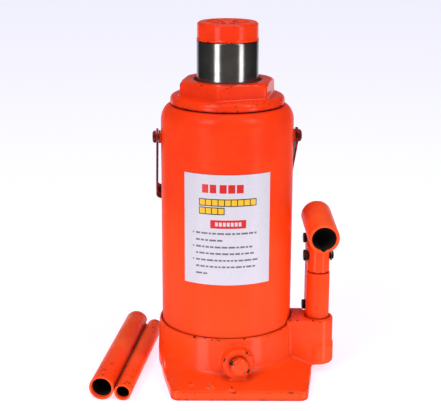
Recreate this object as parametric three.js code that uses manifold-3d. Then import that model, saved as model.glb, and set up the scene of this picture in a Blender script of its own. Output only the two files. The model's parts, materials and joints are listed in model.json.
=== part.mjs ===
// Hydraulic bottle jack, 32 tonne class, with its two handle tubes lying beside it.
// Millimetres, +Z up. The origin is on the floor, on the axis of the ram.
// The pump stands on the +X side. The label, the release valve and the socket's mouth face -Y.

import * as THREE from "three";
import { mergeVertices } from "three/addons/utils/BufferGeometryUtils.js";
import Module from "manifold-3d";

const wasm = await Module();
wasm.setup();

// ---------------------------------------------------------------- driving dimensions

const GAP = 0.3; // between neighbouring pieces, whether they slide, turn or only touch
const DEGREE = Math.PI / 180;

// Foot plate: one long edge at the front, mirrored at the back, tapering from the middle.
const FOOT_DEPTH = 94.3; // from the ram's axis to the front edge
const FOOT_LEFT = { middle: -70.5, corner: -52.6 };
const FOOT_RIGHT = { middle: 90.5, corner: 78.2 };
const FOOT_EDGE_Z = 10; // height of the plate's edge
const FOOT_CROWN_Z = 17.5; // height where its sloping top meets the neck

// Neck of the casting, which holds the cylinder and the tank.
const NECK_FOOT_R = 69.5;
const NECK_R = 68;
const NECK_TOP_Z = 53.5;
const SUMP_FLOOR_Z = 50; // floor of the oil space between tank and cylinder
const TANK_GROOVE_Z = 46;
const CYLINDER_SEAT_Z = 38;
const WELL_R = 8; // pocket under the ram, where the passages meet
const WELL_Z = 24;

const TANK_R = 65;
const TANK_WALL = 3.5;
const TANK_TOP_Z = 272.7;
const SHOULDER_REACH = 11; // how far the rolled shoulder comes in
const SHOULDER_RISE = 15.7;

const CYLINDER_R = 44;
const CYLINDER_BORE_R = 36;
const CYLINDER_TOP_Z = 270;

const NUT_FLANGE_R = 56;
const NUT_FLANGE_TOP_Z = 282;
const NUT_TOP_Z = 297;
const NUT_ACROSS_FLATS = 85;
const NUT_CORNER_ANGLE = 19.3 * DEGREE; // direction of one corner
const NUT_SKIRT_R = 49.8; // the threaded part inside the tank's mouth
const NUT_SKIRT_Z = 250;
const NUT_GROOVE = { inner: 50.8, outer: 53.9, top: TANK_TOP_Z + 2.3 };
const NUT_CHAMFER_R = 43.5; // where the chamfer meets the nut's top
const WIPER_SEAT_Z = 291;
const WIPER_R = 32.2;

// Ram, drawn with the jack standing part of the way up.
const RAM_R = 30;
const RAM_TOP_Z = 334.3;
const RAM_TAIL_Z = 72.3;
const PISTON_Z = 93.5;
const PISTON_LENGTH = 19.5;
const TAIL_R = 11.7; // tail that carries the cup, its washer and its nut

const SADDLE_R = 29.5;
const SADDLE_TOP_Z = 352;
const SADDLE_LIP = 0.7; // the cast lip round its foot
const SADDLE_DISH = { r: 21, depth: 1.5 };
const SADDLE_RIB = { count: 12, from: 7, to: 18, half: 1.2 };
const SPIGOT_R = 12;
const SPIGOT_LENGTH = 15;

// Pump: its own frame stands on the pump's axis, turned a little, with -Y towards the mouth.
const PUMP = { x: 92, y: -10, turn: 3.6 * DEGREE };
const BOSS_R = 16;
const BOSS_FOOT_R = 17;
const BOSS_BOTTOM_Z = 9;
const BOSS_STEP_Z = 30;
const BOSS_TOP_Z = 57;
const ARM_INNER_X = 40; // the arm starts inside the neck
const ARM_BACK = { y: 11, short: 14 }; // its back half ends this far short of the pump's axis
const PUMP_CYLINDER_R = 11.6;
const PUMP_CYLINDER_TOP_Z = 104;
const PUMP_SEAT_Z = 22;
const PLUNGER_R = 7;
const PLUNGER_FOOT_Z = 32;
const PLUNGER_GROOVE = { r: 5, from: 36, to: 42 };
const HEAD_R = 11;
const HEAD_TOP_Z = 131;
const HEAD_SLOT_Z = 107.2;
const HEAD_SLOT_FRONT = 9.1; // the slot stops this far in front of the pump's axis
const PIN_R = 4;
const PLUNGER_PIN = { headX: -15.3, headR: 5.5, head: 4, endX: 14.8, clipX: 11.8 };
const LINK_PIN = { headX: -12.2, headR: 5, head: 3, endX: 11.6, clipX: 9.4 };

// Linkage pivots, as distance behind the pump's axis and height.
const PLUNGER_PIVOT = { back: 0, z: 121 };
const LINK_TOP_PIVOT = { back: 27, z: 131 };
const LINK_FOOT_PIVOT = { back: 27, z: 59 };
const LINK_PLAY = 1.9; // the foot pivot's hole is this much longer towards the back
const LINK_EYE_R = 8;
const LINK_INNER_X = 3.9;
const LINK_THICKNESS = 5;

const SOCKET_R = 15.2;
const SOCKET_BORE_R = 12;
const SOCKET_LENGTH = 60.5;
const SOCKET_CENTRE = { back: -5, z: 152 };
const SOCKET_TILT = 7.6 * DEGREE; // its mouth hangs this much below level
const TONGUE_HALF = 3.4;
const TONGUE_EYE_R = 8.5;

// Release valve: a screw on a radius of the neck.
const RELEASE_ANGLE = -81.5 * DEGREE;
const VALVE_Z = 31; // height of the release and overload passages
const RELEASE_BOSS_R = 15.5;
const RELEASE_FACE = 79; // distance of the boss's face from the ram's axis
const RELEASE_HEAD_R = 8.5;
const RELEASE_HEAD_END = 88;
const SEAL_RING = { inner: 5.1, from: 68.3, to: 71.2 }; // the release screw's
const RELEASE_PIN_TILT = 30 * DEGREE;
const RELEASE_PIN = { r: 2, half: 11, at: 84 };

const OVERLOAD_ANGLE = 90 * DEGREE;
const FILLER_ANGLE = 90 * DEGREE;
const FILLER_Z = 215;
const FILLER_R = 5;

// Oil passages and valves in the casting. Distances are from the ram's axis.
const PUMP_DISTANCE = Math.hypot(PUMP.x, PUMP.y);
const PUMP_ANGLE = Math.atan2(PUMP.y, PUMP.x);
const PASSAGE_R = 2.5;
const SUCTION = { distance: 54, z: 12, holeR: 1.8, portR: 5, ballR: 3.5, plugR: 7, plugTopZ: 14.2 };
const STRAINER = { r: 4.9, pocket: 3 };
const DELIVERY = { distance: 26, z: 18, seatZ: 24, chamberR: 5, ballR: 4, plugR: 4, plugFrom: 105 };
const VALVE_SEAT = 47; // distance of the release and overload seats
const RELEASE = { screwR: 6.7, boreFrom: 54, chamberR: 3.6, seatR: 1.8, ballR: 3, drain: 51.5 };
const OVERLOAD = { screwR: 5.7, boreFrom: 60, chamberR: 4.2, seatR: 1.5, ballR: 2.8, drain: 55 };

const LABEL_HALF_ANGLE = 38.2 * DEGREE;
const LABEL_BOTTOM_Z = 107.8;
const LABEL_TOP_Z = 216.5;

// Bail: a flat strap on two bolts, leaning against the back of the tank.
const BAIL_TURN = 3.8 * DEGREE;
const BAIL_PIVOT_Z = 240;
const BAIL_DROOP = 46 * DEGREE; // how far its arms hang below level
const BAIL_HALF_WIDTH = 68.5; // to the middle of the strap
const BAIL_REACH = 104; // from the bolts to the middle of the cross bar
const STRAP_WIDTH = 16.5;
const STRAP_THICKNESS = 2;
const BOLT_R = 3;
const BOLT_HEAD_R = 6;

// Handle tubes: near end, direction and size of each as it lies on the floor.
const UPPER_TUBE = { x: -120.2, y: -91, turn: -7.1 * DEGREE, length: 180, r: 12, bore: 10 };
const LOWER_TUBE = { x: -99.8, y: -93, turn: -7.1 * DEGREE, length: 176, r: 8.3, bore: 6.5 };
const NOTCH = { width: 5, depth: 9 };

// ---------------------------------------------------------------- materials

function finish(color, roughness, metalness) {
  return new THREE.MeshStandardMaterial({ color, roughness, metalness });
}

const PAINT = finish(0xf4481f, 0.35, 0.1);
const POLISHED = finish(0xb9bcc0, 0.18, 1);
const STEEL = finish(0x8d9196, 0.4, 0.9);
const BLACKENED = finish(0x2a2523, 0.5, 0.7);
const COPPER = finish(0xb4653a, 0.4, 0.9);
const RUBBER = finish(0x1c1c1e, 0.8, 0);
const SEAL = finish(0x3a6ea5, 0.6, 0);
const PAPER = finish(0xeeeef4, 0.5, 0);

// ---------------------------------------------------------------- shape helpers

// The same surface with only positions, shared vertices merged and no collapsed triangles.
function welded(geometry) {
  const copy = geometry.clone();
  copy.deleteAttribute("normal");
  copy.deleteAttribute("uv");
  const merged = mergeVertices(copy, 1e-4);
  const corners = merged.index.array;
  const kept = [];
  for (let i = 0; i < corners.length; i += 3) {
    const [a, b, c] = [corners[i], corners[i + 1], corners[i + 2]];
    if (a !== b && b !== c && c !== a) {
      kept.push(a, b, c);
    }
  }
  merged.setIndex(kept);
  return merged;
}

function signedVolume(geometry) {
  const corners = geometry.index.array;
  const [a, b, c] = [new THREE.Vector3(), new THREE.Vector3(), new THREE.Vector3()];
  let volume = 0;
  for (let i = 0; i < corners.length; i += 3) {
    a.fromBufferAttribute(geometry.attributes.position, corners[i]);
    b.fromBufferAttribute(geometry.attributes.position, corners[i + 1]);
    c.fromBufferAttribute(geometry.attributes.position, corners[i + 2]);
    volume += a.dot(b.cross(c)) / 6;
  }
  return volume;
}

// A closed surface whose faces point out.
function outward(geometry) {
  const surface = welded(geometry);
  if (signedVolume(surface) < 0) {
    surface.setIndex(Array.from(surface.index.array).reverse());
  }
  return surface;
}

function toSolid(geometry) {
  const surface = outward(geometry);
  return new wasm.Manifold(
    new wasm.Mesh({
      numProp: 3,
      vertProperties: new Float32Array(surface.attributes.position.array),
      triVerts: new Uint32Array(surface.index.array),
    }),
  );
}

function toGeometry(solid) {
  const mesh = solid.getMesh();
  const geometry = new THREE.BufferGeometry();
  geometry.setAttribute("position", new THREE.BufferAttribute(mesh.vertProperties, 3));
  geometry.setIndex(new THREE.BufferAttribute(mesh.triVerts, 1));
  geometry.computeVertexNormals();
  return geometry;
}

function cut(body, ...tools) {
  return toGeometry(tools.reduce((solid, tool) => solid.subtract(toSolid(tool)), toSolid(body)));
}

function join(body, ...others) {
  return toGeometry(others.reduce((solid, other) => solid.add(toSolid(other)), toSolid(body)));
}

function common(body, ...others) {
  return toGeometry(others.reduce((solid, other) => solid.intersect(toSolid(other)), toSolid(body)));
}

// Facets round a circle, more on the large ones so that mating pieces stay clear of each other.
function sides(r) {
  if (r > 20) {
    return 36;
  }
  return r > 7.5 ? 20 : 12;
}

// A profile of [radius, height] points turned about Z. One that leaves the axis closes on itself.
function revolve(profile, segments = sides(Math.max(...profile.map(([r]) => r)))) {
  const points = profile.map(([r, z]) => new THREE.Vector2(r, z));
  const onAxis = profile[0][0] === 0 && profile[profile.length - 1][0] === 0;
  if (!onAxis) {
    points.push(points[0].clone());
  }
  return outward(new THREE.LatheGeometry(points, segments).rotateX(Math.PI / 2));
}

function rod(r, from, to, segments = sides(r)) {
  return revolve([[0, from], [r, from], [r, to], [0, to]], segments);
}

function ring(inner, outer, from, to, segments = sides(outer)) {
  return revolve([[inner, from], [outer, from], [outer, to], [inner, to]], segments);
}

function ball(r, x, y, z) {
  return outward(new THREE.SphereGeometry(r, 12, 8).translate(x, y, z));
}

function box(x0, x1, y0, y1, z0, z1) {
  const block = new THREE.BoxGeometry(x1 - x0, y1 - y0, z1 - z0);
  return block.translate((x0 + x1) / 2, (y0 + y1) / 2, (z0 + z1) / 2);
}

function extruded(shape, from, to, curveSegments = 8) {
  const options = { depth: to - from, bevelEnabled: false, curveSegments };
  return new THREE.ExtrudeGeometry(shape, options).translate(0, 0, from);
}

// A shape drawn in the YZ plane, thickened along X.
function upright(shape, from, to, curveSegments = 8) {
  const sideways = new THREE.Matrix4().makeBasis(
    new THREE.Vector3(0, 1, 0),
    new THREE.Vector3(0, 0, 1),
    new THREE.Vector3(1, 0, 0),
  );
  return extruded(shape, from, to, curveSegments).applyMatrix4(sideways);
}

// A round bar along X at a given Y and Z.
function crossBar(r, from, to, y, z, segments = sides(r)) {
  return rod(r, from, to, segments).rotateY(Math.PI / 2).translate(0, y, z);
}

// Turns something built upright on the axis to lie along a radius of the jack, its top outwards.
function alongRadius(geometry, angle, z) {
  return geometry.rotateY(Math.PI / 2).rotateZ(angle).translate(0, 0, z);
}

function spoke(r, from, to, angle, z, segments = sides(r)) {
  return alongRadius(rod(r, from, to, segments), angle, z);
}

// A round hole down from the surface, at a distance and direction from the ram's axis.
function drop(r, from, to, distance, angle) {
  return rod(r, from, to).translate(distance * Math.cos(angle), distance * Math.sin(angle), 0);
}

function shapeOf(points) {
  return new THREE.Shape(points.map(([x, y]) => new THREE.Vector2(x, y)));
}

// A closed outline through corners [x, y, r], each corner cut back by r and rounded.
function roundedShape(corners) {
  const at = (i) => corners[(i + corners.length) % corners.length];
  const shape = new THREE.Shape();
  corners.forEach(([x, y, r], i) => {
    const corner = new THREE.Vector2(x, y);
    const towards = ([tx, ty]) => new THREE.Vector2(tx, ty).sub(corner).setLength(r).add(corner);
    const start = towards(at(i - 1));
    const end = towards(at(i + 1));
    if (i === 0) {
      shape.moveTo(start.x, start.y);
    } else {
      shape.lineTo(start.x, start.y);
    }
    shape.quadraticCurveTo(x, y, end.x, end.y);
  });
  return shape;
}

// A closed skin through rings of [x, y, z] points, with a fan to a middle point at each end.
function loft(rings) {
  const count = rings[0].length;
  const positions = rings.flat();
  const corners = [];
  for (let level = 0; level + 1 < rings.length; level += 1) {
    for (let i = 0; i < count; i += 1) {
      const a = level * count + i;
      const b = level * count + ((i + 1) % count);
      corners.push(a, b, b + count, a, b + count, a + count);
    }
  }
  const lowest = positions.push([0, 0, rings[0][0][2]]) - 1;
  const highest = positions.push([0, 0, rings[rings.length - 1][0][2]]) - 1;
  const last = (rings.length - 1) * count;
  for (let i = 0; i < count; i += 1) {
    const next = (i + 1) % count;
    corners.push(lowest, next, i, highest, last + i, last + next);
  }
  const geometry = new THREE.BufferGeometry();
  geometry.setAttribute("position", new THREE.Float32BufferAttribute(positions.flat(), 3));
  geometry.setIndex(corners);
  return outward(geometry);
}

class Helix extends THREE.Curve {
  constructor(r, from, to, turns) {
    super();
    Object.assign(this, { r, from, to, turns });
  }

  getPoint(t, target = new THREE.Vector3()) {
    const angle = 2 * Math.PI * this.turns * t;
    const z = THREE.MathUtils.lerp(this.from, this.to, t);
    return target.set(this.r * Math.cos(angle), this.r * Math.sin(angle), z);
  }
}

function spring(r, wire, from, to, turns) {
  const section = new THREE.Shape().absarc(0, 0, wire, 0, 2 * Math.PI);
  const path = new Helix(r, from + wire, to - wire, turns);
  const options = { steps: turns * 9, extrudePath: path, bevelEnabled: false, curveSegments: 5 };
  return outward(new THREE.ExtrudeGeometry(section, options));
}

// ---------------------------------------------------------------- scene graph

const jack = new THREE.Group();
const pump = new THREE.Group();
pump.position.set(PUMP.x, PUMP.y, 0);
pump.rotation.z = PUMP.turn;
const bailFrame = new THREE.Group();
bailFrame.position.z = BAIL_PIVOT_Z;
bailFrame.rotation.z = BAIL_TURN;
jack.add(pump, bailFrame);

function piece(name, geometry, material, parent = jack) {
  const mesh = new THREE.Mesh(geometry, material);
  mesh.name = name;
  parent.add(mesh);
  return mesh;
}

// ---------------------------------------------------------------- base casting

function footPlate() {
  const outline = roundedShape([
    [FOOT_LEFT.middle, 0, 45],
    [FOOT_LEFT.corner, -FOOT_DEPTH, 7],
    [FOOT_RIGHT.corner, -FOOT_DEPTH, 8],
    [FOOT_RIGHT.middle, 0, 45],
    [FOOT_RIGHT.corner, FOOT_DEPTH, 8],
    [FOOT_LEFT.corner, FOOT_DEPTH, 7],
  ]).getPoints(4);
  const inset = (point, step) => point.clone().setLength(point.length() - step);
  const level = (z, step) => outline.map((point) => [...inset(point, step), z]);
  const crown = outline.map((point) => {
    const r = Math.min(NECK_FOOT_R + 3, point.length() - 2);
    return [...point.clone().setLength(r), FOOT_CROWN_Z];
  });
  const inside = outline.map((point) => [...point.clone().setLength(NECK_FOOT_R - 3), FOOT_CROWN_Z + 5]);
  const edge = [level(0, 0.8), level(0.8, 0), level(FOOT_EDGE_Z - 1, 0), level(FOOT_EDGE_Z, 1.2)];
  return loft([...edge, crown, inside]);
}

function neck() {
  return revolve([
    [0, 5],
    [NECK_FOOT_R, 5],
    [NECK_FOOT_R, FOOT_CROWN_Z],
    [NECK_R, NECK_TOP_Z - 1],
    [NECK_R - 1, NECK_TOP_Z],
    [0, NECK_TOP_Z],
  ]);
}

// The lug stands behind the pump, between the link plates.
function linkLug() {
  const lug = new THREE.Shape();
  const { back, z } = LINK_FOOT_PIVOT;
  lug.moveTo(10, BOSS_STEP_Z);
  lug.lineTo(back + LINK_EYE_R + LINK_PLAY, BOSS_STEP_Z + 8);
  lug.lineTo(back + LINK_EYE_R + LINK_PLAY, z);
  lug.absarc(back + LINK_PLAY, z, LINK_EYE_R, 0, Math.PI / 2);
  lug.lineTo(10, BOSS_TOP_Z);
  const half = LINK_INNER_X - GAP;
  return upright(lug, -half, half).rotateZ(PUMP.turn).translate(PUMP.x, PUMP.y, 0);
}

function linkLugHole() {
  const { back, z } = LINK_FOOT_PIVOT;
  const slot = new THREE.Shape();
  slot.absarc(back, z, PIN_R + GAP, Math.PI / 2, 1.5 * Math.PI);
  slot.absarc(back + LINK_PLAY, z, PIN_R + GAP, -Math.PI / 2, Math.PI / 2);
  return upright(slot, -10, 10).rotateZ(PUMP.turn).translate(PUMP.x, PUMP.y, 0);
}

function casting() {
  const bossAt = (geometry) => geometry.translate(PUMP.x, PUMP.y, 0);
  return join(
    footPlate(),
    neck(),
    box(ARM_INNER_X, PUMP.x, PUMP.y - BOSS_R, PUMP.y + BOSS_R, BOSS_BOTTOM_Z, BOSS_TOP_Z),
    box(ARM_INNER_X, PUMP.x - ARM_BACK.short, PUMP.y, ARM_BACK.y, BOSS_BOTTOM_Z, BOSS_TOP_Z),
    bossAt(rod(BOSS_R, BOSS_BOTTOM_Z, BOSS_TOP_Z)),
    bossAt(rod(BOSS_FOOT_R, BOSS_BOTTOM_Z, BOSS_STEP_Z)),
    linkLug(),
    spoke(RELEASE_BOSS_R, 50, RELEASE_FACE, RELEASE_ANGLE, VALVE_Z),
  );
}

function tankAndCylinderSeats() {
  const above = NECK_TOP_Z + 10;
  return [
    rod(TANK_R + GAP, SUMP_FLOOR_Z, above),
    ring(TANK_R - TANK_WALL - GAP, TANK_R + GAP, TANK_GROOVE_Z, SUMP_FLOOR_Z + 1),
    rod(CYLINDER_R + GAP, CYLINDER_SEAT_Z, above),
    rod(WELL_R, WELL_Z, above),
  ];
}

function pumpBores() {
  const atPump = (geometry) => geometry.translate(PUMP.x, PUMP.y, 0);
  const outside = PUMP_DISTANCE + BOSS_FOOT_R + 3;
  const { distance: suction, z: suctionZ } = SUCTION;
  const { distance: delivery, z: deliveryZ } = DELIVERY;
  return [
    atPump(rod(PUMP_CYLINDER_R + GAP, PUMP_SEAT_Z, BOSS_TOP_Z + 1)),
    atPump(rod(SUCTION.portR, SUCTION.plugTopZ - 1, PUMP_SEAT_Z + 1)),
    atPump(rod(SUCTION.plugR + GAP, BOSS_BOTTOM_Z - 1, SUCTION.plugTopZ + GAP)),
    spoke(SUCTION.holeR, suction, PUMP_DISTANCE, PUMP_ANGLE, suctionZ),
    drop(PASSAGE_R, suctionZ - 2, SUMP_FLOOR_Z + 1, suction, PUMP_ANGLE),
    drop(STRAINER.r + GAP, SUMP_FLOOR_Z - STRAINER.pocket, SUMP_FLOOR_Z + 1, suction, PUMP_ANGLE),
    spoke(PASSAGE_R, delivery, outside, PUMP_ANGLE, deliveryZ),
    spoke(DELIVERY.plugR + GAP, DELIVERY.plugFrom - GAP, outside, PUMP_ANGLE, deliveryZ),
    drop(PASSAGE_R, deliveryZ, CYLINDER_SEAT_Z, delivery, PUMP_ANGLE),
    drop(DELIVERY.chamberR, DELIVERY.seatZ, CYLINDER_SEAT_Z + 1, delivery, PUMP_ANGLE),
  ];
}

// A screw's bore, the narrower chamber of its ball, the seat's hole and the drain back to the tank.
function valveBore(valve, angle) {
  return [
    spoke(valve.screwR + GAP, valve.boreFrom, RELEASE_FACE + 1, angle, VALVE_Z),
    spoke(valve.chamberR, VALVE_SEAT, valve.boreFrom + 1, angle, VALVE_Z),
    spoke(valve.seatR, 0, VALVE_SEAT + 1, angle, VALVE_Z),
    drop(valve.seatR, VALVE_Z, SUMP_FLOOR_Z + 1, valve.drain, angle),
  ];
}

piece(
  "base_casting",
  cut(
    casting(),
    ...tankAndCylinderSeats(),
    ...pumpBores(),
    ...valveBore(RELEASE, RELEASE_ANGLE),
    ...valveBore(OVERLOAD, OVERLOAD_ANGLE),
    linkLugHole(),
  ),
  PAINT,
);

// ---------------------------------------------------------------- tank, cylinder and top nut

function shoulder(wall) {
  const points = [];
  for (let angle = 0; angle <= 90; angle += 18) {
    const t = angle * DEGREE;
    const r = TANK_R - SHOULDER_REACH + (SHOULDER_REACH - wall) * Math.cos(t);
    const z = TANK_TOP_Z - SHOULDER_RISE + (SHOULDER_RISE - wall) * Math.sin(t);
    points.push([r, z]);
  }
  return points;
}

function tankShell() {
  const mouth = NUT_SKIRT_R + 0.5; // the nut's skirt passes through here
  const foot = TANK_GROOVE_Z + 3.3;
  const shell = revolve(
    [
      [TANK_R, foot],
      ...shoulder(0),
      [mouth, TANK_TOP_Z],
      ...[...shoulder(TANK_WALL), [mouth, TANK_TOP_Z - TANK_WALL]].reverse(),
      [TANK_R - TANK_WALL, foot],
    ],
  );
  return cut(shell, spoke(FILLER_R + GAP, TANK_R - 10, TANK_R + 5, FILLER_ANGLE, FILLER_Z));
}

function hexagonShape(acrossFlats, firstCorner = 0) {
  const r = acrossFlats / 2 / Math.cos(30 * DEGREE);
  const corners = [0, 1, 2, 3, 4, 5].map((i) => {
    const angle = firstCorner + i * 60 * DEGREE;
    return [r * Math.cos(angle), r * Math.sin(angle)];
  });
  return shapeOf(corners);
}

function topNut() {
  const body = revolve(
    [
      [0, NUT_SKIRT_Z],
      [NUT_SKIRT_R, NUT_SKIRT_Z],
      [NUT_SKIRT_R, TANK_TOP_Z + GAP],
      [NUT_FLANGE_R - 1, TANK_TOP_Z + GAP],
      [NUT_FLANGE_R, TANK_TOP_Z + 1.5],
      [NUT_FLANGE_R, NUT_FLANGE_TOP_Z - 4.5],
      [NUT_FLANGE_R - 1.2, NUT_FLANGE_TOP_Z - 1.8],
      [NUT_FLANGE_R - 4, NUT_FLANGE_TOP_Z],
      [0, NUT_FLANGE_TOP_Z],
    ],
  );
  const hexagon = extruded(
    hexagonShape(NUT_ACROSS_FLATS, NUT_CORNER_ANGLE),
    NUT_FLANGE_TOP_Z - 1,
    NUT_TOP_Z,
  );
  const chamfer = revolve([
    [0, 0],
    [80, 0],
    [80, NUT_TOP_Z - 20],
    [NUT_CHAMFER_R, NUT_TOP_Z],
    [0, NUT_TOP_Z],
  ]);
  return cut(
    join(body, common(hexagon, chamfer)),
    rod(RAM_R + GAP, NUT_SKIRT_Z - 1, NUT_TOP_Z + 1),
    rod(CYLINDER_R + GAP, NUT_SKIRT_Z - 1, CYLINDER_TOP_Z + GAP),
    rod(WIPER_R + GAP, WIPER_SEAT_Z, NUT_TOP_Z + 1),
    ring(NUT_GROOVE.inner, NUT_GROOVE.outer, TANK_TOP_Z, NUT_GROOVE.top),
  );
}

piece("reservoir_tank", tankShell(), PAINT);
piece("tank_seal", ring(61.5, 65, TANK_GROOVE_Z + GAP, TANK_GROOVE_Z + 3), RUBBER);
piece(
  "pressure_cylinder",
  ring(CYLINDER_BORE_R, CYLINDER_R, CYLINDER_SEAT_Z + 1.8, CYLINDER_TOP_Z),
  STEEL,
);
piece("cylinder_gasket", ring(37, 43.7, CYLINDER_SEAT_Z + GAP, CYLINDER_SEAT_Z + 1.5), COPPER);
piece("top_nut", topNut(), PAINT);
piece(
  "nut_seal",
  ring(NUT_GROOVE.inner + GAP, NUT_GROOVE.outer - GAP, TANK_TOP_Z + GAP, NUT_GROOVE.top - GAP),
  RUBBER,
);
piece(
  "ram_wiper",
  revolve([
    [RAM_R + 0.4, WIPER_SEAT_Z + GAP],
    [WIPER_R, WIPER_SEAT_Z + GAP],
    [WIPER_R, NUT_TOP_Z - 0.5],
    [RAM_R + 1.2, NUT_TOP_Z + 0.4],
    [RAM_R + 0.4, NUT_TOP_Z + 0.4],
  ]),
  RUBBER,
);
piece(
  "label",
  cut(
    ring(TANK_R + GAP, TANK_R + 2 * GAP, LABEL_BOTTOM_Z, LABEL_TOP_Z),
    ...[-1, 1].map((side) => {
      const wedge = shapeOf([
        [0, 0],
        [100 * side * Math.sin(LABEL_HALF_ANGLE), -100 * Math.cos(LABEL_HALF_ANGLE)],
        [100 * side, 0],
        [100 * side, 100],
        [0, 100],
      ]);
      return extruded(wedge, 0, 300);
    }),
  ),
  PAPER,
);
piece(
  "filler_plug",
  alongRadius(
    revolve(
      [
        [0, TANK_R - 5],
        [FILLER_R - 0.1, TANK_R - 5],
        [FILLER_R - 0.1, TANK_R + 0.5],
        [FILLER_R + 3, TANK_R + 0.5],
        [FILLER_R + 3, TANK_R + 3],
        [FILLER_R + 1.5, TANK_R + 5],
        [0, TANK_R + 5],
      ],
    ),
    FILLER_ANGLE,
    FILLER_Z,
  ),
  RUBBER,
);
piece(
  "oil_strainer",
  drop(
    STRAINER.r,
    SUMP_FLOOR_Z - STRAINER.pocket + GAP,
    SUMP_FLOOR_Z - 0.5,
    SUCTION.distance,
    PUMP_ANGLE,
  ),
  COPPER,
);

// ---------------------------------------------------------------- ram, piston and saddle

const CUP_Z = 83.6;

function ramBody() {
  const body = revolve([
    [0, RAM_TAIL_Z],
    [TAIL_R, RAM_TAIL_Z],
    [TAIL_R, PISTON_Z],
    [CYLINDER_BORE_R - GAP, PISTON_Z],
    [CYLINDER_BORE_R - GAP, PISTON_Z + PISTON_LENGTH - 2],
    [RAM_R, PISTON_Z + PISTON_LENGTH],
    [RAM_R, RAM_TOP_Z - 0.5],
    [RAM_R - 0.5, RAM_TOP_Z],
    [0, RAM_TOP_Z],
  ]);
  return cut(body, rod(SPIGOT_R + GAP, RAM_TOP_Z - SPIGOT_LENGTH - GAP, RAM_TOP_Z + 1));
}

// The saddle's top is a flat rim round a shallow dish with raised radial ribs.
function saddle() {
  const seat = RAM_TOP_Z + GAP;
  const body = revolve([
    [0, seat - SPIGOT_LENGTH],
    [SPIGOT_R, seat - SPIGOT_LENGTH],
    [SPIGOT_R, seat],
    [SADDLE_R + SADDLE_LIP, seat],
    [SADDLE_R + SADDLE_LIP, seat + 1.5],
    [SADDLE_R, seat + 2.7],
    [SADDLE_R, SADDLE_TOP_Z - 2.4],
    [SADDLE_R - 0.8, SADDLE_TOP_Z - 0.6],
    [SADDLE_R - 2.4, SADDLE_TOP_Z],
    [0, SADDLE_TOP_Z],
  ]);
  const dish = rod(SADDLE_DISH.r, SADDLE_TOP_Z - SADDLE_DISH.depth, SADDLE_TOP_Z + 1);
  const { count, from, to, half } = SADDLE_RIB;
  const ribs = [];
  for (let i = 0; i < count; i += 1) {
    const rib = box(from, to, -half, half, SADDLE_TOP_Z - 3, SADDLE_TOP_Z);
    ribs.push(rib.rotateZ((i * 360 * DEGREE) / count));
  }
  return join(cut(body, dish), rod(5, SADDLE_TOP_Z - 3, SADDLE_TOP_Z), ...ribs);
}

function hexNut(acrossFlats, hole, from, to) {
  return cut(extruded(hexagonShape(acrossFlats), from, to), rod(hole, from - 1, to + 1));
}

piece("ram", ramBody(), POLISHED);
piece("saddle", saddle(), PAINT);
piece(
  "piston_cup",
  revolve([
    [SPIGOT_R, CUP_Z + 4.6],
    [30, CUP_Z + 4.6],
    [32.5, CUP_Z],
    [CYLINDER_BORE_R - 0.4, CUP_Z],
    [CYLINDER_BORE_R - 0.4, PISTON_Z - GAP],
    [SPIGOT_R, PISTON_Z - GAP],
  ]),
  SEAL,
);
piece("cup_washer", ring(SPIGOT_R, 29, CUP_Z, CUP_Z + 4.3), STEEL);
piece("cup_nut", hexNut(36, SPIGOT_R, RAM_TAIL_Z + 1, CUP_Z - GAP), STEEL);

// ---------------------------------------------------------------- pump and linkage

function plunger() {
  const rodAndHead = join(
    rod(PLUNGER_R, PLUNGER_FOOT_Z, PUMP_CYLINDER_TOP_Z + 1),
    revolve(
      [
        [0, PUMP_CYLINDER_TOP_Z + 0.6],
        [HEAD_R - 0.6, PUMP_CYLINDER_TOP_Z + 0.6],
        [HEAD_R, PUMP_CYLINDER_TOP_Z + 1.2],
        [HEAD_R, HEAD_TOP_Z - 2],
        [HEAD_R - 2, HEAD_TOP_Z],
        [0, HEAD_TOP_Z],
      ],
    ),
  );
  return cut(
    rodAndHead,
    box(-LINK_INNER_X, LINK_INNER_X, -HEAD_SLOT_FRONT, 20, HEAD_SLOT_Z, HEAD_TOP_Z + 1),
    crossBar(PIN_R + GAP, -20, 20, PLUNGER_PIVOT.back, PLUNGER_PIVOT.z),
    ring(PLUNGER_GROOVE.r, PLUNGER_R + 3, PLUNGER_GROOVE.from, PLUNGER_GROOVE.to),
  );
}

function headedPin(pivot, { headX, headR, head, endX }) {
  return join(
    crossBar(headR, headX, headX + head, pivot.back, pivot.z),
    crossBar(PIN_R, headX, endX, pivot.back, pivot.z),
  );
}

// The spring clip that keeps a pin in: a thin ring with a gap, in the pin's end groove.
function pinClip(pivot, { clipX: x }) {
  const clip = cut(ring(PIN_R + 0.2, PIN_R + 1.8, x, x + 1), box(-1.5, 1.5, 0, 10, x - 1, x + 2));
  return clip.rotateY(Math.PI / 2).translate(0, pivot.back, pivot.z);
}

function linkPlate(x) {
  const plate = new THREE.Shape();
  plate.absarc(LINK_TOP_PIVOT.back, LINK_TOP_PIVOT.z, LINK_EYE_R, 0, Math.PI);
  plate.absarc(LINK_FOOT_PIVOT.back, LINK_FOOT_PIVOT.z, LINK_EYE_R, Math.PI, 2 * Math.PI);
  const holes = [LINK_TOP_PIVOT, LINK_FOOT_PIVOT].map((pivot) =>
    crossBar(PIN_R + GAP, x - 1, x + LINK_THICKNESS + 1, pivot.back, pivot.z),
  );
  return cut(upright(plate, x, x + LINK_THICKNESS), ...holes);
}

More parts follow.
